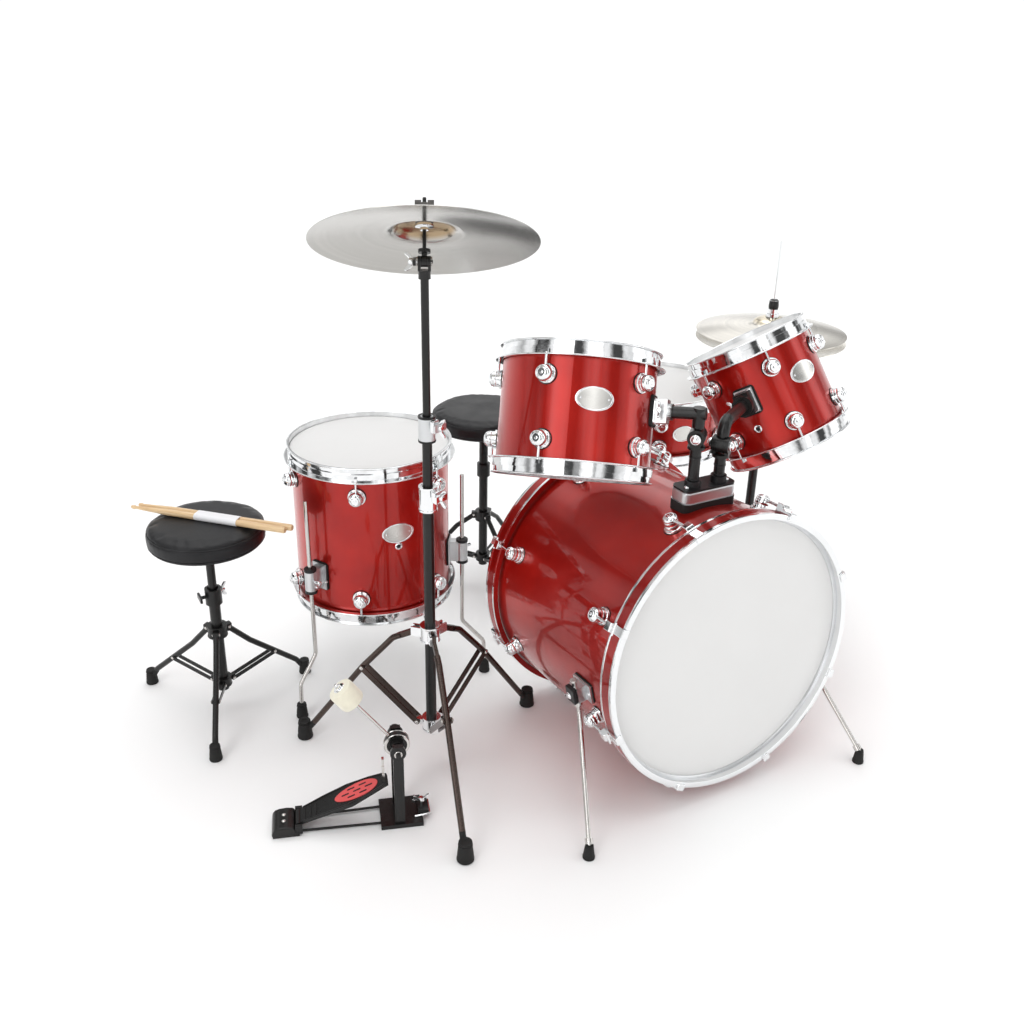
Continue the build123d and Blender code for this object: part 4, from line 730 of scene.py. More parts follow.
def head_collar(name, body, place, radius, depth):
    """The film's rolled collar where each head turns down over the shell."""
    shape = Shape()
    for end in (-1, 1):
        rise = [(radius - 7, 0.82), (radius - 3, 1.5), (radius - 0.5, 1.6), (radius + 0.9, 0.9)]
        shape.lathe([(r, end * (depth / 2 + z)) for r, z in rise], steps=96)
    shape.make(f"{name}_head_collars", body, HEAD, place, sharp=60)


def small_drums():
    """Lugs, hoop edges, badges and vents of the toms and the snare."""
    for name, (body, radius, depth, count, first, drop, centre, axis) in DRUMS.items():
        place = drum_frame(centre, axis)
        lug_trim(name, body, place, radius, depth, count, first, drop, 15.5, 28.0)
        head_collar(name, body, place, radius, depth)
        hoop_edges(name, body, place, radius, depth)
    badges = {"left_tom": (17.0, 20.0, 73.0, 45.0), "right_tom": (-26.0, 23.0, 69.0, 44.0),
              "floor_tom": (-93.0, 30.8, 73.0, 46.0), "snare": (-99.0, 2.0, 56.0, 40.0)}
    for name, (angle, height, wide, tall) in badges.items():
        body, radius, _, _, _, _, centre, axis = DRUMS[name]
        oval_plate(name, body, drum_frame(centre, axis), radius, angle, height, wide, tall)
    vents = {"left_tom": (197.0, 0.0), "right_tom": (-88.0, -48.0), "floor_tom": (-93.0, -1.0),
             "snare": (48.0, 0.0)}
    for name, (angle, height) in vents.items():
        body, radius, _, _, _, _, centre, axis = DRUMS[name]
        vent(name, body, drum_frame(centre, axis), radius, angle, height)


def hoop_edges(name, body, place, radius, depth):
    """The pressed hoops' rolled lip, swaged bead and turned flange edge, at both ends."""
    shape = Shape()
    edge = depth / 2
    for flip in (Matrix.Identity(4), turn(180, "X")):
        for out, height, size in ((radius + 6.9, edge + 11.2, 1.7), (radius + 4.9, edge - 8.0, 0.9),
                                  (radius + 14.2, edge - 18.1, 1.5)):
            circle = [(out + r, height + z) for r, z in arc((0, 0), size, 0, 330, 11)]
            shape.lathe(circle, flip, 128, closed=True)
    shape.make(f"{name}_hoop_edges", body, HOOP_CHROME, place, sharp=70)


# ---------------------------------------------------------------- bass drum's trim
def claw_outline():
    """Seen from the side: a strap over the hoop, a lip over its front and a rod ear behind it."""
    back = BASS_DEPTH / 2 - BASS_HOOP_COVER - 3.0
    front = BASS_DEPTH / 2 + BASS_HOOP_PROUD
    rim = BASS_HOOP_RADIUS
    return [(rim + 0.25, back - 0.6), (rim + 16.4, back - 0.6), (rim + 16.4, back + 14.6), (rim + 10.0,
            back + 20.0),
            (rim + 6.8, back + 25.0), (rim + 6.8, front + 1.5), (rim + 4.6, front + 4.8), (rim - 8.8,
                    front + 4.8),
            (rim - 9.2, front + 0.25), (rim + 0.25, front + 0.25)]


def bass_trim():
    """Claws, hoop inlays, flesh hoops and spur brackets of the bass drum."""
    place = bass_frame()
    lug_trim("bass", "root", place, BASS_RADIUS, BASS_DEPTH, BASS_LUG_COUNT, BASS_LUG_TURN, BASS_LUG_INSET,
             14.5, 34.0)
    claws, rims, bands = Shape(), Shape(), Shape()
    edge = BASS_DEPTH / 2
    low, high = edge - BASS_HOOP_COVER, edge + BASS_HOOP_PROUD
    rim = BASS_HOOP_RADIUS
    for flip in (Matrix.Identity(4), turn(180, "X")):
        for index in range(BASS_LUG_COUNT):
            angle = BASS_LUG_TURN + 360 / BASS_LUG_COUNT * index
            if flip[2][2] < 0:
                angle = -angle
            upright_side = flip @ turn(angle) @ turn(90, "X")
            claws.prism(claw_outline(), -9.0, 9.0, upright_side)
        for start in (low + 0.6, high - 6.6):
            band = [(rim - 1.0, start), (rim + 0.3, start), (rim + 0.55, start + 1.2), (rim + 0.55,
                    start + 4.8),
                    (rim + 0.3, start + 6.0), (rim - 1.0, start + 6.0)]
            rims.lathe(band, flip, 160, closed=True)
        face = [(rim + 0.2, high - 1.0), (rim + 0.2, high + 0.3), (rim - 1.0, high + 0.8),
                (BASS_RADIUS + 5.4, high + 0.8),
                (BASS_RADIUS + 4.1, high + 0.3), (BASS_RADIUS + 4.1, edge + 5.2)]
        rims.lathe(face, flip, 160)
        inner = [(BASS_RADIUS - 1.4, edge + 0.9), (BASS_RADIUS - 1.4, edge + 3.2), (BASS_RADIUS + 0.6,
                edge + 5.0),
                 (BASS_RADIUS + 4.2, edge + 5.0), (BASS_RADIUS + 4.2, edge + 0.9)]
        bands.lathe(inner, flip, 160)
    claws.make("bass_claw_straps", "root", CHROME, place, bevel=1.4)
    rims.make("bass_hoop_inlays", "root", CHROME, place)
    bands.make("bass_flesh_hoops", "root", SATIN, place)
    spur_trim(place)


def spur_trim(place):
    """Black gasket, bright cover and key bolt of each spur bracket."""
    gaskets, covers, bolts = Shape(), Shape(), Shape()
    for side in (1, -1):
        base = turn(SPUR_TURN * side) @ move(0, 0, BASS_DEPTH / 2 - SPUR_INSET)
        outward = base @ move(BASS_RADIUS, 0, 0) @ turn(90, "Y")
        gaskets.prism(rounded_rectangle(65, 45, 9), -3.0, 2.2, outward)
        covers.prism(rounded_rectangle(30, 36, 5), 26.0, 35.6, outward)
        bolts.lathe([(7.5, 35.0), (7.5, 38.0), *dome(6.2, 38.0, 4.2)], outward, 24)
        for x in (-24.0, 24.0):
            bolts.lathe([(4.4, 5.6), (4.4, 7.0), *dome(3.9, 7.0, 2.0)], outward @ move(x, 0, 0), 20)
    gaskets.make("bass_spur_gaskets", "root", RUBBER, place, bevel=0.8)
    covers.make("bass_spur_covers", "root", BLACK_PLASTIC, place, bevel=2.0)
    bolts.make("bass_spur_bolts", "root", CHROME, place)


def spur_boots():
    """Rubber tips over the spurs' feet."""
    for side, (x, y) in SPUR_FEET.items():
        shape = Shape()
        boot(shape, Matrix.Identity(4), 9.6, 31.0)
        shape.make(f"bass_spur_{side}_boot", f"bass_spur_{side}", RUBBER, upright(x, y))


# ---------------------------------------------------------------- wing screws
def wing_screw(shape, place, span=34.0, stem=8.0, hub=6.0):
    """A cast wing screw that turns about Z, its stem going down to the origin."""
    shape.lathe([(hub * 0.62, 0), (hub * 0.62, stem), (hub, stem + 1.0), (hub, stem + 7.0), (hub * 0.8,
            stem + 9.0),
                 (0, stem + 9.4)], place, 24)
    half = span / 2
    for flip in (1, -1):
        outline = [(hub * 0.5, 1.0), (half * 0.55, 2.5), (half * 0.86, 7.5), (half, 13.0), (half * 0.90,
                16.0),
                   (half * 0.66, 14.5), (half * 0.42, 9.5), (hub * 0.5, 7.6)]
        wing = [(x * flip, z + stem) for x, z in outline]
        shape.prism(wing, -2.2, 2.2, place @ turn(90, "X"))


# ---------------------------------------------------------------- tom holder
def tom_holder_trim():
    """The holder's band and screws, and the bolts and rings of both arms."""
    x, y = HOLDER_CENTRE
    place = upright(x, y)
    screws = Shape()
    for dx in (-49.0, 49.0):
        screws.lathe([(5.6, 0), (5.6, 2.0), *dome(5.0, 2.0, 3.2)], move(dx, -8.0, HOLDER_TOP), 24)
    screws.make("tom_mount_screws", "root", CHROME, place)
    band = Shape().prism(rounded_rectangle(HOLDER_LENGTH + 1.6, HOLDER_WIDTH + 1.6, 14.0, 8),
                         HOLDER_TOP - 28.4, HOLDER_TOP - 4.4)
    band.make("tom_mount_band", "root", SATIN, place, bevel=3.0)
    for side, ((px, py), height) in PIPES.items():
        to_tom = Vector(DRUMS[f"{side}_tom"][6][:2]) - Vector((px, py))
        to_tom.normalize()
        here = basis((px, py, 0), UP, (to_tom.y, -to_tom.x, 0))
        rings = Shape()
        for low in (HOLDER_TOP + 14.6, height - 44.0):
            rings.lathe([(PIPE_RADIUS + 0.05, low), (PIPE_RADIUS + 0.9, low + 0.5), (PIPE_RADIUS + 0.9,
                    low + 3.5),
                         (PIPE_RADIUS + 0.05, low + 4.0)], steps=40)
        rings.make(f"{side}_arm_rings", f"{side}_arm", BLACK_PLASTIC, here)
        bolts = Shape()
        cap = [(10.4, 0), (10.4, 2.4), (9.4, 3.2), *dome(8.2, 3.2, 5.4)]
        bolts.lathe(cap, move(-20.5, 0, height) @ turn(-90, "Y"), 32)
        bolts.lathe(cap, move(17.0, 0, height) @ turn(90, "Y"), 32)
        bolts.make(f"{side}_arm_knuckle_bolts", f"{side}_arm", CHROME, here)
        tom_arm_trim(side)


def tom_arm_trim(side):
    """What rides with a hung tom: the pad's gasket, plate and studs, and the clamp's wing screw."""
    name = f"{side}_tom"
    body, radius, _, _, _, _, centre, axis = DRUMS[name]
    (px, py), height = PIPES[side]
    axis = Vector(axis).normalized()
    elbow = Vector((px, py, height + KNUCKLE_RISE[side]))
    away = elbow - Vector(centre)
    station = away.dot(axis)
    outward = (away - axis * station).normalized()
    on_axis = Vector(centre) + axis * station
    wall = on_axis + outward * radius
    place = basis(tuple(wall), outward, axis)
    gasket, plate, wings, studs = Shape(), Shape(), Shape(), Shape()
    gasket.prism(rounded_rectangle(62, 47, 8), -3.5, 2.6)
    plate.prism(rounded_rectangle(50, 36, 5), 4.2, 7.6)
    wing_screw(wings, move(0, 17.0, 18.0) @ turn(-90, "X"), 32.0, 5.0, 5.0)
    for x in (-20.5, 20.5):
        studs.lathe([(3.8, 7.4), (3.8, 8.6), *dome(3.4, 8.6, 1.8)], move(x, -11, 0), 20)
    gasket.make(f"{name}_bracket_gasket", body, RUBBER, place, bevel=0.8)
    plate.make(f"{name}_bracket_plate", body, CHROME, place, bevel=1.0)
    wings.make(f"{name}_bracket_wing_screw", body, CHROME, place, bevel=0.9)
    studs.make(f"{name}_bracket_studs", body, CHROME, place)


# ---------------------------------------------------------------- floor tom's leg brackets
def floor_tom_trim():
    """Caps, wing screws and gaskets of the leg brackets, and the legs' boots."""
    body, radius, _, _, _, _, centre, _ = DRUMS["floor_tom"]
    place = upright(centre[0], centre[1])
    caps, wings, gaskets = Shape(), Shape(), Shape()
    out = radius + FLOOR_LEG_OUT
    for index in range(3):
        way = turn(FLOOR_LEG_TURN + 120 * index)
        for low, high in ((354.2, 361.5), (300.5, 307.8)):
            caps.lathe([(4.95, low), (14.0, low), (14.0, high), (4.95, high)], way @ move(out, 0, 0), 32,
                       closed=True)
        wing_screw(wings, way @ move(out, 13.0, 331.0) @ turn(-90, "X"), 36.0, 7.0, 6.0)
        gaskets.prism(rounded_rectangle(68, 45, 8), -2.4, 3.2, way @ move(radius, 0, 331.0) @ turn(90, "Y"))
    caps.make("floor_tom_bracket_caps", body, BLACK_PLASTIC, place, bevel=1.2)
    wings.make("floor_tom_wing_screws", body, CHROME, place, bevel=0.9)
    gaskets.make("floor_tom_bracket_gaskets", body, RUBBER, place, bevel=0.8)
    feet = Shape()
    for index in range(3):
        foot = turn(FLOOR_LEG_TURN + 120 * index) @ move(radius + FLOOR_FOOT_OUT, 0, 0)
        boot(feet, foot, 13.0, 34.0)
    feet.make("floor_tom_leg_boots", "root", RUBBER, place)


def boot(shape, place, radius, height):
    """A moulded rubber boot: a flat sole with a flange, a waist, and two ribs at its mouth."""
    outline = [(0, 0), (radius * 0.96, 0), (radius * 1.04, 1.2), (radius * 1.04, height * 0.12),
               (radius * 0.99, height * 0.17),
               (radius * 0.97, height * 0.36), (radius * 0.88, height * 0.66), (radius * 0.80, height * 0.80),
               (radius * 0.88, height * 0.83), (radius * 0.86, height * 0.88), (radius * 0.77, height * 0.90),
               (radius * 0.84, height * 0.94), (radius * 0.80, height * 1.01), (radius * 0.3, height * 1.01)]
    shape.lathe(outline, place, 32)


# ---------------------------------------------------------------- tripods
def tripod_trim():
    """Rivets, boots and collar edges of the fixed tripods."""
    for name, (centre, turns, reach, collar, hub, tube, leg, bend) in TRIPODS.items():
        place = upright(*centre)
        rivets, boots, rings = Shape(), Shape(), Shape()
        elbow = (reach * 0.36, collar - (collar - 30.0) * bend)
        ankle = (reach * 0.90, 44.0)
        crossing = ((elbow[0] + ankle[0]) / 2, (elbow[1] + ankle[1]) / 2)
        for angle in turns:
            way = turn(angle)
            for out, height, half in ((tube + 14.0, collar + 1.0, 7.2), (tube + 12.5, hub, leg + 2.6),
                                      (*crossing, leg + 2.6)):
                for side in (-1, 1):
                    rivet = way @ move(out, side * half, height) @ turn(-90 * side, "X")
                    rivets.lathe([(3.6, -1), (3.6, 0.5), *dome(3.3, 0.5, 1.5)], rivet, 16)
            boot(boots, way @ move(reach, 0, 0), leg * 2.1, 36.0)
        for low in (collar - 14.5, collar + 10.5, hub - 11.0, hub + 8.0):
            wide = tube + (9.0 if low > hub + 20 else 7.0)
            rings.lathe([(tube + 1, low), (wide + 0.8, low), (wide + 1.2, low + 1.5), (wide + 0.8, low + 3.0),
                         (tube + 1, low + 3.0)], steps=40)
        rivets.make(f"{name}_rivets", "root", STEEL, place)
        boots.make(f"{name}_boots", "root", RUBBER, place)
        rings.make(f"{name}_collar_edges", "root", BLACK_COAT, place)


# ---------------------------------------------------------------- cymbals
def cymbal_outline(radius, bell_radius, bell_height, drop, thickness, hole):
    """A closed section: bell, bow and a rolled edge, top then underside."""
    shoulder = bell_radius * 1.22
    top = [(hole, bell_height)]
    for index in range(1, 11):
        share = index / 10
        top.append((hole + (bell_radius * 0.98 - hole) * share, bell_height * sqrt(max(0.0,
                1 - 0.96 * share ** 2.4))))
    top += [(bell_radius * 1.06, bell_height * 0.10), (shoulder, 0.0)]
    for index in range(1, 25):
        share = index / 24
        top.append((shoulder + (radius - shoulder) * share, -drop * (0.35 * share + 0.65 * share ** 2)))
    under = [(r, z - thickness) for r, z in reversed(top)]
    return top + [(radius + 0.25, -drop - thickness / 2)] + under


def cymbals():
    """The three cymbals, each in place of its CAD plate."""
    top_flat = HIHAT_HEIGHT + HIHAT_BOW + HIHAT_THICKNESS
    low_flat = HIHAT_HEIGHT - HIHAT_GAP - HIHAT_BOW - HIHAT_THICKNESS
    sizes = (HIHAT_RADIUS, HIHAT_BELL_RADIUS, HIHAT_BELL_HEIGHT, HIHAT_BOW, HIHAT_THICKNESS)
    outline = cymbal_outline(*sizes, 6.2)
    x, y = HIHAT_SPOT
    pairs = (("hihat_top", "hihat_top", top_flat, 1), ("hihat_bottom", "root", low_flat, -1))
    for name, body, height, way in pairs:
        shape = Shape().lathe([(r, z * way) for r, z in outline], steps=144, closed=True)
        piece = shape.make(f"{name}_plate", body, HIHAT_METAL, upright(x, y, 0, height))
        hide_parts(f"{name}_cymbal")
    plate = Shape().lathe(cymbal_outline(CRASH_RADIUS, 56.0, 24.0, 19.0, 1.3, 5.8), move(0, 0, CRASH_PLATE),
                          160, closed=True)
    piece = plate.make("crash_plate", "crash_cymbal", CRASH_METAL, crash_frame())
    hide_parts("crash_cymbal")


def hihat_trim():
    """The clutch, its wing screw, the height screw and the footboard's ribs."""
    x, y = HIHAT_SPOT
    place = upright(x, y, 40.0)
    bell_top = HIHAT_HEIGHT + HIHAT_BOW + HIHAT_THICKNESS + HIHAT_BELL_HEIGHT
    clutch, screws = Shape(), Shape()
    low = bell_top + 20.0
    clutch.lathe([(3.4, low + 20.0), (8.5, low + 21.5), (11.3, low + 19.0), (11.3, low + 12.0), (11.9,
            low + 11.0),
                  (11.9, low + 3.0), (11.3, low + 1.0), (11.3, low - 0.2)], steps=40)
    wing_screw(screws, move(11.0, 0, low + 12.0) @ turn(90, "Y"), 30.0, 5.0, 5.0)
    clutch.make("hihat_clutch_sleeve", "hihat_top", BLACK_COAT, place)
    screws.make("hihat_clutch_wing_screw", "hihat_top", CHROME, place, bevel=0.8)
    wings = Shape()
    wing_screw(wings, move(17.0, 0, 579.0) @ turn(90, "Y"), 34.0, 6.0, 5.5)
    wings.make("hihat_height_wing_screw", "root", CHROME, place, bevel=0.8)
    board = basis((*HIHAT_SPOT, 0), UP, (cos(radians(HIHAT_BOARD_TURN)), sin(radians(HIHAT_BOARD_TURN)), 0))
    slope = move(-HIHAT_HEEL_OUT, 0, 13.0) @ turn(-10.0, "Y")
    ribs = Shape()
    for index in range(9):
        ribs.prism(rounded_rectangle(4.0, 40.0 - abs(index - 4) * 2.0, 1.9), 4.0, 5.6,
                   slope @ move(40 + 18 * index, 0, 0))
    ribs.make("hihat_footboard_ribs", "hihat_footboard", RUBBER, board)


# ---------------------------------------------------------------- crash stand's trim
def crash_trim():
    """Boots, rivets, clamp edges, wing screws, tilter teeth and felts of the crash stand."""
    place = upright(*CRASH_SPOT)
    for index, angle in enumerate(CRASH_LEG_TURNS, start=1):
        way = turn(angle)
        boots, rivets = Shape(), Shape()
        boot(boots, way @ move(CRASH_FOOT_REACH, 0, 0), 16.4, 43.0)
        boots.make(f"crash_leg_{index}_boot", f"crash_leg_{index}", RUBBER, place)
        for side in (-1, 1):
            for out, height in ((30.0, CRASH_HUB), CRASH_MID_PIVOT):
                rivet = way @ move(out, side * 10.0, height) @ turn(-90 * side, "X")
                rivets.lathe([(4.4, 0), (4.4, 0.9), *dome(4.0, 0.9, 2.0)], rivet, 20)
        rivets.make(f"crash_brace_{index}_rivets", f"crash_brace_{index}", STEEL, place)
    collar = Shape()
    for low, wide in ((CRASH_COLLAR - 17.6, 20.0), (CRASH_COLLAR + 13.6, 20.0)):
        collar.lathe([(12, low), (wide + 0.9, low), (wide + 1.4, low + 2.0), (wide + 0.9, low + 4.0), (12,
                low + 4.0)],
                     steps=48)
    wing_screw(collar, turn(80) @ move(20.0, 0, CRASH_COLLAR + 1.0) @ turn(90, "Y"), 34.0, 6.0, 5.5)
    collar.make("crash_collar_edges", "crash_collar", CHROME, place)
    hub = Shape()
    for low in (CRASH_HUB - 15.6, CRASH_HUB + 11.6):
        hub.lathe([(12, low), (19.8, low), (20.2, low + 2.0), (19.8, low + 4.0), (12, low + 4.0)], steps=48)
    hub.make("crash_hub_edges", "root", CHROME, place)
    for index, (height, wide, body) in enumerate(zip(CRASH_CLAMPS, (17.5, 16.0), ("root", "crash_mid"))):
        edges, lever = Shape(), Shape()
        for low in (height - 25.6, height + 21.6):
            edges.lathe([(wide - 4, low), (wide + 0.7, low), (wide + 1.1, low + 2.0), (wide + 0.7, low + 4.0),
                         (wide - 4, low + 4.0)], steps=48)
        edges.make(f"crash_clamp_{index + 1}_edges", body, BLACK_PLASTIC if index else CHROME, place)
        lug = turn(-65) @ move(wide - 1.5, 0, height + 8)
        lever.prism(rounded_rectangle(26, 16, 4), 0, 9.0, lug @ turn(90, "Y"))
        wing_screw(lever, lug @ move(8.0, 0, 0) @ turn(90, "Y"), 38.0, 6.0, 6.0)
        lever.make(f"crash_clamp_{index + 1}_wing_screw", body, CHROME, place, bevel=1.0)
    tilter = crash_frame()
    teeth = Shape()
    for side in (-1, 1):
        for step in range(18):
            teeth.box(1.6, 1.0, 2.6, turn(90 * side, "Y") @ turn(step * 20) @ move(7.4, 0, 11.4))
    teeth.make("crash_tilter_teeth", "crash_top", STEEL, tilter)
    wings = Shape()
    wing_screw(wings, move(11.0, 0, 0) @ turn(90, "Y"), 34.0, 8.0, 6.0)
    wings.make("crash_tilter_wing_screw", "crash_top", CHROME, tilter, bevel=0.9)
    low = CRASH_WASHER
    felts, nuts = Shape(), Shape()
    for height, wide, tall in ((low + 3.0, 15.4, 9.0), (low + 17.2, 14.4, 8.0)):
        outline = [(5.4, 0.1), (wide - 1.6, 0.1), (wide, 1.6), (wide + 0.3, tall / 2), (wide, tall - 1.6),
                   (wide - 1.6, tall - 0.1),
                   (5.4, tall - 0.1)]
        felts.lathe([(r, z + height) for r, z in outline], steps=48, closed=True)
    nuts.lathe([(3.5, low - 6.6), (7.4, low - 6.4), (7.4, low - 2.0), (16.2, low - 0.3), (16.5, low + 1.2),
                (16.2, low + 2.9),
                (3.5, low + 2.9)], steps=40, closed=True)
    felts.make("crash_felt_pads", "crash_tilter", FELT_GREY, tilter)
    nuts.make("crash_cup_washer", "crash_tilter", CHROME, tilter)


# ---------------------------------------------------------------- seats
SEAT_PRESSURE = 2.0
SEAT_FRAMES = 20
SEAT_SWELL_CAP = 2.6
SEAT_VOXEL = 6.0
SEAM_DEPTH = 1.5
SEAM_WIDTH = 2.6


def seat_form(radius, top):
    """The outline of the stuffed pad before it swells, a little inside its CAD solid."""
    low = top - SEAT_THICKNESS + 8.0
    wide = radius - 3.5
    outline = [(0, low + 0.8), (wide - 16, low + 0.8)]
    outline += [(wide - 16 + r, z + low + 16.8) for r, z in arc((0, 0), 16.0, -90, 0, 6)]
    outline += [(wide - 15 + r, z + top - 19.0) for r, z in arc((0, 0), 15.0, 0, 90, 6)]
    return outline + [(wide * 0.6, top - 3.2), (wide * 0.3, top - 2.6), (0, top - 2.4)]


def swell(piece, low):
    """Blows the remeshed pad up as cloth and caps how far each point may move."""
    mesh = piece.data
    start = np.empty(len(mesh.vertices) * 3)
    mesh.vertices.foreach_get("co", start)
    start = start.reshape(-1, 3)
    held = piece.vertex_groups.new(name="held")
    held.add([i for i, z in enumerate(start[:, 2]) if z < low * MM], 1.0, "REPLACE")
    cloth = piece.modifiers.new("cloth", "CLOTH")
    cloth.settings.use_pressure = True
    cloth.settings.uniform_pressure_force = SEAT_PRESSURE
    cloth.settings.vertex_group_mass = "held"
    cloth.settings.effector_weights.gravity = 0
    scene = bpy.context.scene
    scene.frame_start, scene.frame_end = 1, SEAT_FRAMES
    for step in range(1, SEAT_FRAMES + 1):
        scene.frame_set(step)
    swollen = piece.evaluated_get(bpy.context.evaluated_depsgraph_get()).to_mesh()
    end = np.empty(len(swollen.vertices) * 3)
    swollen.vertices.foreach_get("co", end)
    shift = end.reshape(-1, 3) - start
    length = np.linalg.norm(shift, axis=1, keepdims=True)
    shift *= np.minimum(1.0, SEAT_SWELL_CAP * MM / np.maximum(length, 1e-9))
    piece.modifiers.remove(cloth)
    piece.vertex_groups.clear()
    mesh.vertices.foreach_set("co", (start + shift).ravel())
    scene.frame_set(1)


def modifier_applied(piece, kind, **settings):
    """Adds a modifier and keeps its result as the piece's mesh."""
    modifier = piece.modifiers.new(kind.lower(), kind)
    for name, value in settings.items():
        setattr(modifier, name, value)
    result = bpy.data.meshes.new_from_object(piece.evaluated_get(bpy.context.evaluated_depsgraph_get()))
    piece.modifiers.clear()
    piece.data = result


def seat(name, node, centre, radius, top):
    """A round stuffed seat: cloth-blown pad with sewn seams, stitches, base board and post socket."""
    place = upright(*centre)
    low = top - SEAT_THICKNESS + 8.0
    pad = Shape().lathe(seat_form(radius, top), steps=96).make(name, node, VINYL, place)
    modifier_applied(pad, "REMESH", mode="VOXEL", voxel_size=SEAT_VOXEL * MM)
    swell(pad, low + 6.0)
    modifier_applied(pad, "SUBSURF", levels=2, render_levels=2)
    mesh = pad.data
    where = np.empty(len(mesh.vertices) * 3)
    mesh.vertices.foreach_get("co", where)
    where = where.reshape(-1, 3)
    out = np.hypot(where[:, 0], where[:, 1])
    side = np.stack([where[:, 0] / np.maximum(out, 1e-6), where[:, 1] / np.maximum(out, 1e-6),
                     np.zeros(len(out))], axis=1)
    seams = (top - 15.0, low + 11.0)
    edge = out > (radius * 0.8) * MM
    for height in seams:
        away = (where[:, 2] - height * MM) / (SEAM_WIDTH * MM)
        where -= side * (edge * np.exp(-away ** 2) * SEAM_DEPTH * MM)[:, None]
    pucker = 1 + 0.35 * np.sin(np.arctan2(where[:, 1], where[:, 0]) * 46.0)
    ruffle = np.exp(-((where[:, 2] - (top - 22.0) * MM) / (9.0 * MM)) ** 2) * edge * pucker
    where += side * (ruffle * 0.25 * MM)[:, None]
    mesh.vertices.foreach_set("co", where.ravel())
    mesh.materials.clear()
    mesh.materials.append(VINYL)
    mesh.shade_smooth()
    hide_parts(node)
    angle = np.arctan2(where[:, 1], where[:, 0])
    stitches, welts = Shape(), Shape()
    for height in seams:
        near = np.abs(where[:, 2] - height * MM) < 2.5 * MM
        path = []
        for step in range(120):
            at = -pi + 2 * pi * step / 120
            close = near & (np.abs(angle - at) < 0.06) & edge
            reach = out[close].max() / MM if close.any() else radius
            path.append((reach, at))
        welt = [((r - 1.6) * cos(a), (r - 1.6) * sin(a), height) for r, a in path]
        welts.tube(welt, 1.5, steps=8, loop=True)
    for step in range(150):
        at = 2 * pi * step / 150
        reach = np.interp(at, [a + pi for _, a in path], [r for r, _ in path])
        run = [((reach - 0.6) * cos(at - pi + d), (reach - 0.6) * sin(at - pi + d), seams[1] + 3.6)
               for d in (-0.011, 0.011)]
        stitches.tube(run, 0.42, steps=6)
    welts.make(f"{name}_welts", node, VINYL, place)
    stitches.make(f"{name}_stitches", node, RUBBER, place)
    seat_base(name, node, place, radius, top)


def seat_base(name, node, place, radius, top):
    """The board under the pad, its screws and the socket on the post."""
    low = top - SEAT_THICKNESS
    spigot = {"throne_seat": 9.5, "rear_throne_seat": 12.0}[node]
    board, socket, screws = Shape(), Shape(), Shape()
    board.lathe([(radius * 0.3, low + 0.4), (radius * 0.60, low + 0.4), (radius * 0.62, low + 1.8),
                 (radius * 0.84, low + 8.4), (radius * 0.82, low + 10.5), (radius * 0.3, low + 10.5)],
                 steps=72, closed=True)
    socket.lathe([(spigot + 0.06, low - 26), (spigot + 6.6, low - 26), (spigot + 8, low - 24), (spigot + 8,
            low - 4),
                  (spigot + 16, low - 1.8), (spigot + 30, low - 0.2), (spigot + 30, low + 2.0),
                  (spigot + 0.06, low + 2.0)],
                 steps=48, closed=True)
    for step in range(4):
        screws.lathe([(4.2, 0), (4.2, 1.4), *dome(3.6, 1.4, 1.6)],
                     turn(45 + 90 * step) @ move(spigot + 23.0, 0, low - 0.6) @ turn(180, "X"), 20)
    board.make(f"{name}_board", node, BLACK_PLASTIC, place)
    socket.make(f"{name}_socket", node, BLACK_COAT, place)
    screws.make(f"{name}_screws", node, STEEL, place)


def seats():
    """Both stools' seats and the front post's wing screw."""
    seat("front_stool_pad", "throne_seat", STOOL_SPOT, STOOL_RADIUS, STOOL_TOP)
    seat("rear_stool_pad", "rear_throne_seat", REAR_STOOL_SPOT, REAR_STOOL_RADIUS, REAR_STOOL_TOP)
    wings = Shape()
    wing_screw(wings, move(-19.0, 0, 287.0) @ turn(-90, "Y"), 34.0, 7.0, 5.5)
    wings.make("front_stool_wing_screw", "root", CHROME, upright(*STOOL_SPOT, 215.0), bevel=0.9)


# ---------------------------------------------------------------- pedal
def beater_geometry():
    """The pedal's frame, the shaft's middle, the felt head's middle and the rod's direction."""
    place = basis((*PEDAL_HEEL, 0), UP, (cos(radians(PEDAL_TURN)), sin(radians(PEDAL_TURN)), 0))
    lean = radians(BEATER_LEAN)
    ahead = Vector((-sin(lean), 0, cos(lean)))
    shaft = Vector(PEDAL_SHAFT)
    return place, shaft, shaft + ahead * BEATER_LENGTH, ahead


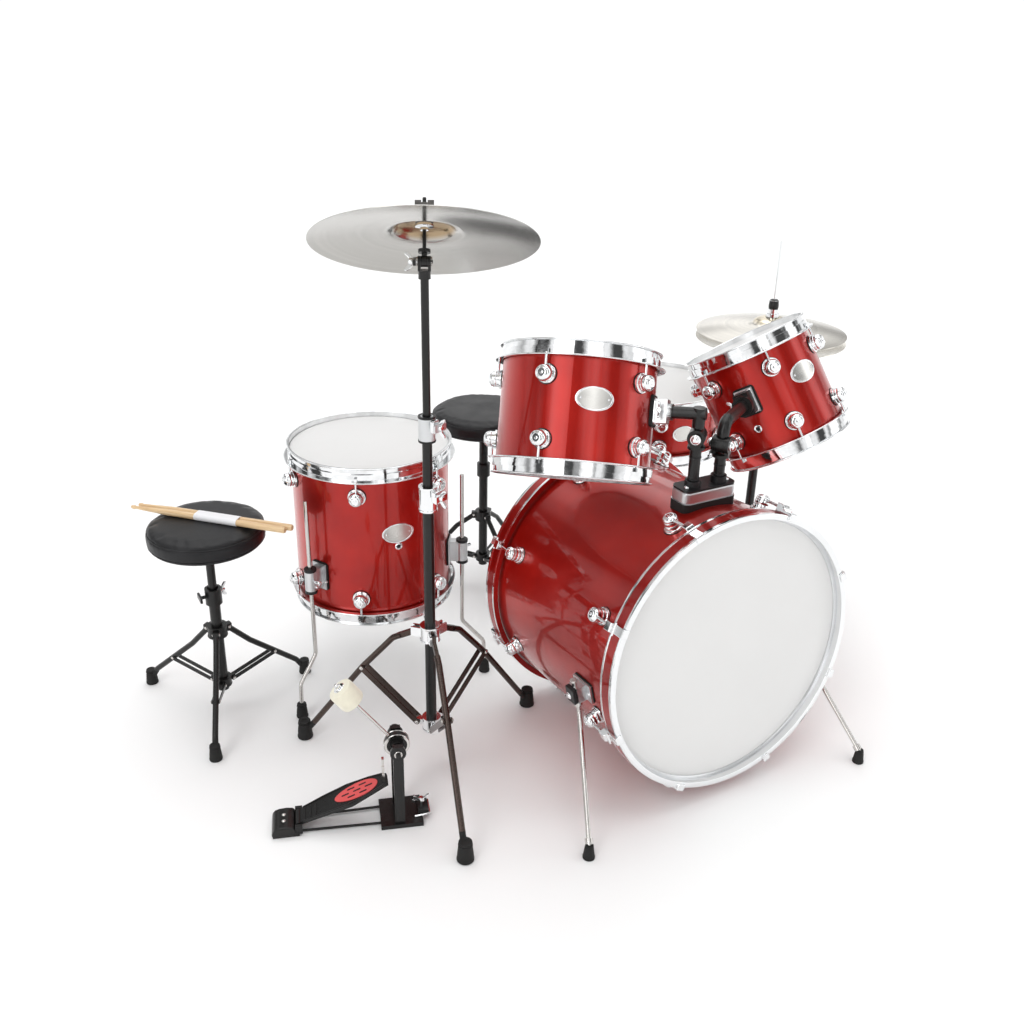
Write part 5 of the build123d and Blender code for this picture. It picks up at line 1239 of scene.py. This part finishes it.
def pedal_trim():
    """The footboard's pad, slots and rails, and the heel cap."""
    place = beater_geometry()[0]
    board = move(*PEDAL_HINGE) @ turn(-BOARD_SLOPE, "Y")
    pad, slots, rails = Shape(), Shape(), Shape()
    along, half_length, half_width = BOARD_LENGTH * 0.66, 46.0, 24.0
    outline = []
    for step in range(40):
        a = 2 * pi * step / 40
        taper = 1 - 0.22 * (1 - cos(a)) / 2
        outline.append((along + half_length * cos(a), half_width * taper * sin(a)))
    pad.prism(outline, 5.9, 7.6, board)
    for row, count in ((-11.0, 2), (0.0, 3), (11.0, 2)):
        for index in range(count):
            x = along + (index - (count - 1) / 2) * 25.0 + 2.0
            slots.prism(rounded_rectangle(16.0, 3.6, 1.7), 7.4, 8.0, board @ move(x, row, 0))
    for side in (-1, 1):
        path = [(12, side * 20.0, 6.4), (BOARD_LENGTH * 0.30, side * 26.0, 6.6), (BOARD_LENGTH * 0.56,
                side * 29.5, 6.6),
                (BOARD_LENGTH * 0.8, side * 24.0, 6.6), (BOARD_LENGTH - 6, side * 17.0, 6.4)]
        rails.tube(path, 1.7, board, steps=8)
    for x in (16.0, 28.0, 40.0):
        rails.prism(rounded_rectangle(3.2, 36.0, 1.5), 5.9, 7.3, board @ move(x, 0, 0))
    pad.make("pedal_board_pad", "pedal_footboard", PEDAL_PAD, place, bevel=0.6)
    slots.make("pedal_board_slots", "pedal_footboard", BLACK_PLASTIC, place)
    rails.make("pedal_board_rails", "pedal_footboard", BLACK_COAT, place)
    heel, studs = Shape(), Shape()
    profile = [(-6.0, 0.6), (-7.0, 6.0), (-5.5, 13.0), (-1.0, 18.5), (8.0, 21.6), (22.0, 22.6), (34.0,
            21.0), (39.0, 17.5), (39.0, 0.6)]
    heel.prism(profile, -31.6, 31.6, turn(90, "X"))
    for y in (-9.0, 9.0):
        studs.lathe([(4.2, 21.6), (4.2, 23.0), *dome(3.7, 23.0, 1.5)], move(17.0, y, 0), 20)
    heel.make("pedal_heel_cap", "root", BLACK_COAT, place, bevel=4.0)
    studs.make("pedal_heel_studs", "root", STEEL, place)
    pedal_tower(place)
    pedal_beater_trim(place)


def pedal_tower(place):
    """Post caps, bearing caps, the coil spring with its hooks, and the hoop clamp's wing screw."""
    x, _, z = PEDAL_SHAFT
    half = PEDAL_WIDTH / 2
    caps, bearings, coil, clamp = Shape(), Shape(), Shape(), Shape()
    for side in (-1, 1):
        outside = move(x, side * (half + 5.6), z) @ turn(-90 * side, "X")
        caps.lathe([(15.0, -11.4), (15.6, -9.5), (15.6, -1.5), (14.4, 0.2), (8.0, 0.2), (8.0, -1.0)],
                   outside, 40)
        bearings.lathe([(8.2, -0.6), (8.2, 1.6), (7.4, 2.4), (5.4, 2.4)], outside, 32)
        caps.prism(rounded_rectangle(16.0, 9.0, 3.0), 14.0, z - 12.0, move(x, side * (half + 1.6), 0))
    spring_y = half + 19.0
    turns, low, high, wide = 17, 64.0, 138.0, 7.0
    path = [(x + wide * cos(2 * pi * s / 14), spring_y + wide * sin(2 * pi * s / 14),
             low + (high - low) * s / (14 * turns))
            for s in range(14 * turns + 1)]
    coil.tube(path, 1.05, steps=8)
    hook = [(x, spring_y, high - 2.0), (x, spring_y, high + 10.0), (x, spring_y - 2.0, z - 12.0), (x,
            spring_y - 4.0, z - 8.0)]
    coil.tube(hook, 1.5, steps=8)
    clamp_place = move(x + 46.0, 0, 20.0)
    wing_screw(clamp, clamp_place, 34.0, 8.0, 6.0)
    clamp.tube([(x + 30.0, -24.0, 10.5), (x + 44.0, -24.0, 12.5), (x + 60.0, -21.0, 14.0), (x + 60.0, 21.0,
            14.0),
                (x + 44.0, 24.0, 12.5), (x + 30.0, 24.0, 10.5)], 2.2, steps=10)
    caps.make("pedal_post_caps", "root", BLACK_COAT, place, bevel=1.0)
    bearings.make("pedal_bearing_caps", "root", STEEL, place)
    coil.make("pedal_spring_coil", "root", CHROME, place)
    clamp.make("pedal_hoop_clamp", "root", CHROME, place, bevel=0.8)


def pedal_beater_trim(place):
    """The felt head's washer and nut, the rod's set screw and the cam's rim."""
    _, shaft, head, ahead = beater_geometry()
    x, _, z = shaft
    tip = facing(head, head + ahead)
    nut = Shape().lathe([(11.6, 20.8), (11.6, 22.6), (10.8, 23.3), (6.2, 23.4), (6.2, 28.2), (5.2, 28.8),
                         (3.2, 28.8),
                         (3.2, 32.2), (2.4, 33.0), (0, 33.0)], tip, 24)
    nut.make("pedal_beater_nut", "pedal_beater", CHROME, place)
    felt = Shape().lathe([(3.1, -21.3), (19.0, -21.6), (23.6, -20.0), (25.2, -16.0), (25.4, -4.0), (25.4,
            6.0), (25.2, 16.0),
                          (23.8, 20.0), (20.0, 21.4), (11.0, 21.3)], tip, 64)
    felt.make("pedal_beater_felt", "pedal_beater", FELT_CREAM, place)
    rod = Shape().tube([shaft + ahead * 12.0, head - ahead * 20.8], 3.15, steps=16)
    rod.make("pedal_beater_rod", "pedal_beater", STEEL, place)
    cam = Shape()
    for side in (-1, 1):
        cam.lathe([(20.0, 0), (24.6, 0), (25.6, 1.2), (24.6, 2.4), (20.0, 2.4)], move(x, side * 6.0,
                z) @ turn(-90 * side, "X"),
                  40, closed=True)
    cam.lathe([(4.0, 12.6), (4.0, 17.0), (2.4, 17.0), (2.4, 15.6), (0, 15.6)], move(x, 10.0, z) @ turn(35,
            "Y"), 6)
    cam.make("pedal_cam_rims", "pedal_beater", STEEL, place)


# ---------------------------------------------------------------- drumsticks' paper band
def paper_band():
    """The paper band that holds the two sticks together."""
    angle = radians(STICK_TURN)
    height = STOOL_TOP + STICK_RADIUS + 0.3
    place = basis((*STICK_MIDDLE, height), UP, (cos(angle), sin(angle), 0))
    reach, thick = STICK_RADIUS + 0.35, 0.35
    gap = STICK_RADIUS + 0.15
    sheet, inner = [], []
    for centre, start in ((gap, -90), (-gap, 90)):
        sheet += arc((centre, 0), reach + thick, start, start + 180, 12)
        inner += arc((centre, 0), reach, start, start + 180, 12)
    band = Shape()
    low, high = -32.0, 70.0
    count = len(sheet)
    points = []
    for x in (low, high):
        points += [(x, y, z) for y, z in sheet] + [(x, y, z) for y, z in inner]
    faces = []
    for i in range(count):
        j = (i + 1) % count
        faces += [[i, j, 2 * count + j, 2 * count + i], [count + i, 3 * count + i, 3 * count + j, count + j],
                  [i, count + i, count + j, j], [2 * count + i, 2 * count + j, 3 * count + j, 3 * count + i]]
    band.add(points, faces)
    band.make("drumstick_paper_band", "drumsticks", PAPER, place)


# ---------------------------------------------------------------- floor, light and camera
def soft_patch(tree, towards, wide, tall, level, soft=0.25):
    """A soft-edged rectangle of light on the sky: its direction, half sizes as tangents, and its level."""
    ahead = Vector(towards).normalized()
    right = ahead.cross(UP).normalized()
    where = tree.nodes.new("ShaderNodeTexCoord").outputs["Generated"]

    def part(axis):
        dot = tree.nodes.new("ShaderNodeVectorMath")
        dot.operation = "DOT_PRODUCT"
        dot.inputs[1].default_value = axis
        tree.links.new(where, dot.inputs[0])
        return dot.outputs["Value"]

    def maths(operation, first, second=None):
        step = tree.nodes.new("ShaderNodeMath")
        step.operation = operation
        for socket, value in zip(step.inputs, (first, second)):
            if isinstance(value, (int, float)):
                socket.default_value = value
            elif value is not None:
                tree.links.new(value, socket)
        return step.outputs["Value"]

    front = part(ahead)
    depth = maths("MAXIMUM", front, 0.001)
    mask = maths("GREATER_THAN", front, 0.01)
    for axis, half in ((right, wide), (right.cross(ahead), tall)):
        across = maths("DIVIDE", maths("ABSOLUTE", part(axis)), depth)
        mask = maths("MULTIPLY", mask, spread(tree, across, 1, 0, half * (1 - soft), half * (1 + soft)))
    return maths("MULTIPLY", mask, level)


SKY_LEVEL, SKY_LOW, SKY_HIGH = 0.56, 0.12, 1.75
SKY_PATCHES = (
    ((-0.80, -0.42, 0.46), 0.20, 0.55, 2.4),
    ((-0.15, -0.90, 0.62), 0.16, 0.45, 1.2),
    ((0.85, -0.50, 0.50), 0.18, 0.50, 1.3),
    ((0.10, 0.25, 1.00), 0.50, 0.50, 1.7),
    ((0.43, 0.80, 0.46), 0.60, 0.34, 0.4),
)


def studio():
    """A pale floor under an even sky with a few soft bright patches."""
    scene = bpy.context.scene
    scene.view_settings.view_transform = "Standard"
    floor_material, tree, shader = shader_of("floor_paper", (0.96, 0.96, 0.96), 0.85, 0.0,
                                             Specular_IOR_Level=0.1)
    shade = spread(tree, noise(tree, 0.7, 2.0), 0, 1)
    tree.links.new(blend_colours(tree, shade, (0.955, 0.955, 0.955), (0.965, 0.965, 0.965)),
                   shader.inputs["Base Color"])
    floor = bpy.data.meshes.new("floor")
    reach = 90.0
    floor.from_pydata([(-reach, -reach, 0), (reach, -reach, 0), (reach, reach, 0), (-reach, reach, 0)], [],
                      [(0, 1, 2, 3)])
    floor.materials.append(floor_material)
    ground = bpy.data.objects.new("floor", floor)
    scene.collection.objects.link(ground)
    ground.location.z = -0.0006

    world = bpy.data.worlds.new("studio")
    scene.world = world
    world.use_nodes = True
    tree = world.node_tree
    sky = tree.nodes["Background"]
    where = tree.nodes.new("ShaderNodeTexCoord").outputs["Generated"]
    clouds = tree.nodes.new("ShaderNodeTexNoise")
    clouds.inputs["Scale"].default_value = 3.6
    clouds.inputs["Detail"].default_value = 1.0
    tree.links.new(where, clouds.inputs["Vector"])
    level = spread(tree, clouds.outputs["Fac"], SKY_LOW * SKY_LEVEL, SKY_HIGH * SKY_LEVEL, 0.40, 0.60)
    parts = tree.nodes.new("ShaderNodeSeparateXYZ")
    tree.links.new(where, parts.inputs["Vector"])
    near_horizon = spread(tree, parts.outputs["Z"], 1, 0, 0.05, 0.16)
    mix = tree.nodes.new("ShaderNodeMix")
    tree.links.new(near_horizon, mix.inputs["Factor"])
    tree.links.new(level, mix.inputs["A"])
    mix.inputs["B"].default_value = 1.04
    total = mix.outputs["Result"]
    for patch in SKY_PATCHES:
        add = tree.nodes.new("ShaderNodeMath")
        tree.links.new(total, add.inputs[0])
        tree.links.new(soft_patch(tree, *patch), add.inputs[1])
        total = add.outputs["Value"]
    tree.links.new(total, sky.inputs["Strength"])
    sky.inputs["Color"].default_value = (1, 1, 1, 1)


CAMERA_PLACE = (-1245.1, -1543.7, 1437.9)
CAMERA_YAW, CAMERA_DOWN, CAMERA_ROLL = 28.31, 23.85, 0.71
CAMERA_LENS, CAMERA_SHIFT = 36.165, (0.01836, -0.02007)


def photographer():
    yaw, down, roll = radians(CAMERA_YAW), radians(CAMERA_DOWN), radians(CAMERA_ROLL)
    right = Vector((cos(yaw), -sin(yaw), 0))
    ahead = Vector((sin(yaw) * cos(down), cos(yaw) * cos(down), -sin(down)))
    above = right.cross(ahead)
    right, above = right * cos(roll) + above * sin(roll), above * cos(roll) - right * sin(roll)
    lens = bpy.data.cameras.new("camera")
    lens.lens, lens.sensor_width = CAMERA_LENS, 36.0
    lens.shift_x, lens.shift_y = CAMERA_SHIFT
    lens.clip_end = 200.0
    camera = bpy.data.objects.new("camera", lens)
    bpy.context.scene.collection.objects.link(camera)
    place = Matrix((right, above, -ahead)).transposed().to_4x4()
    place.translation = spot(*CAMERA_PLACE)
    camera.matrix_world = place
    bpy.context.scene.camera = camera


finish_nodes()
small_drums()
bass_trim()
spur_boots()
tom_holder_trim()
floor_tom_trim()
tripod_trim()
cymbals()
hihat_trim()
crash_trim()
seats()
pedal_trim()
paper_band()
studio()
photographer()
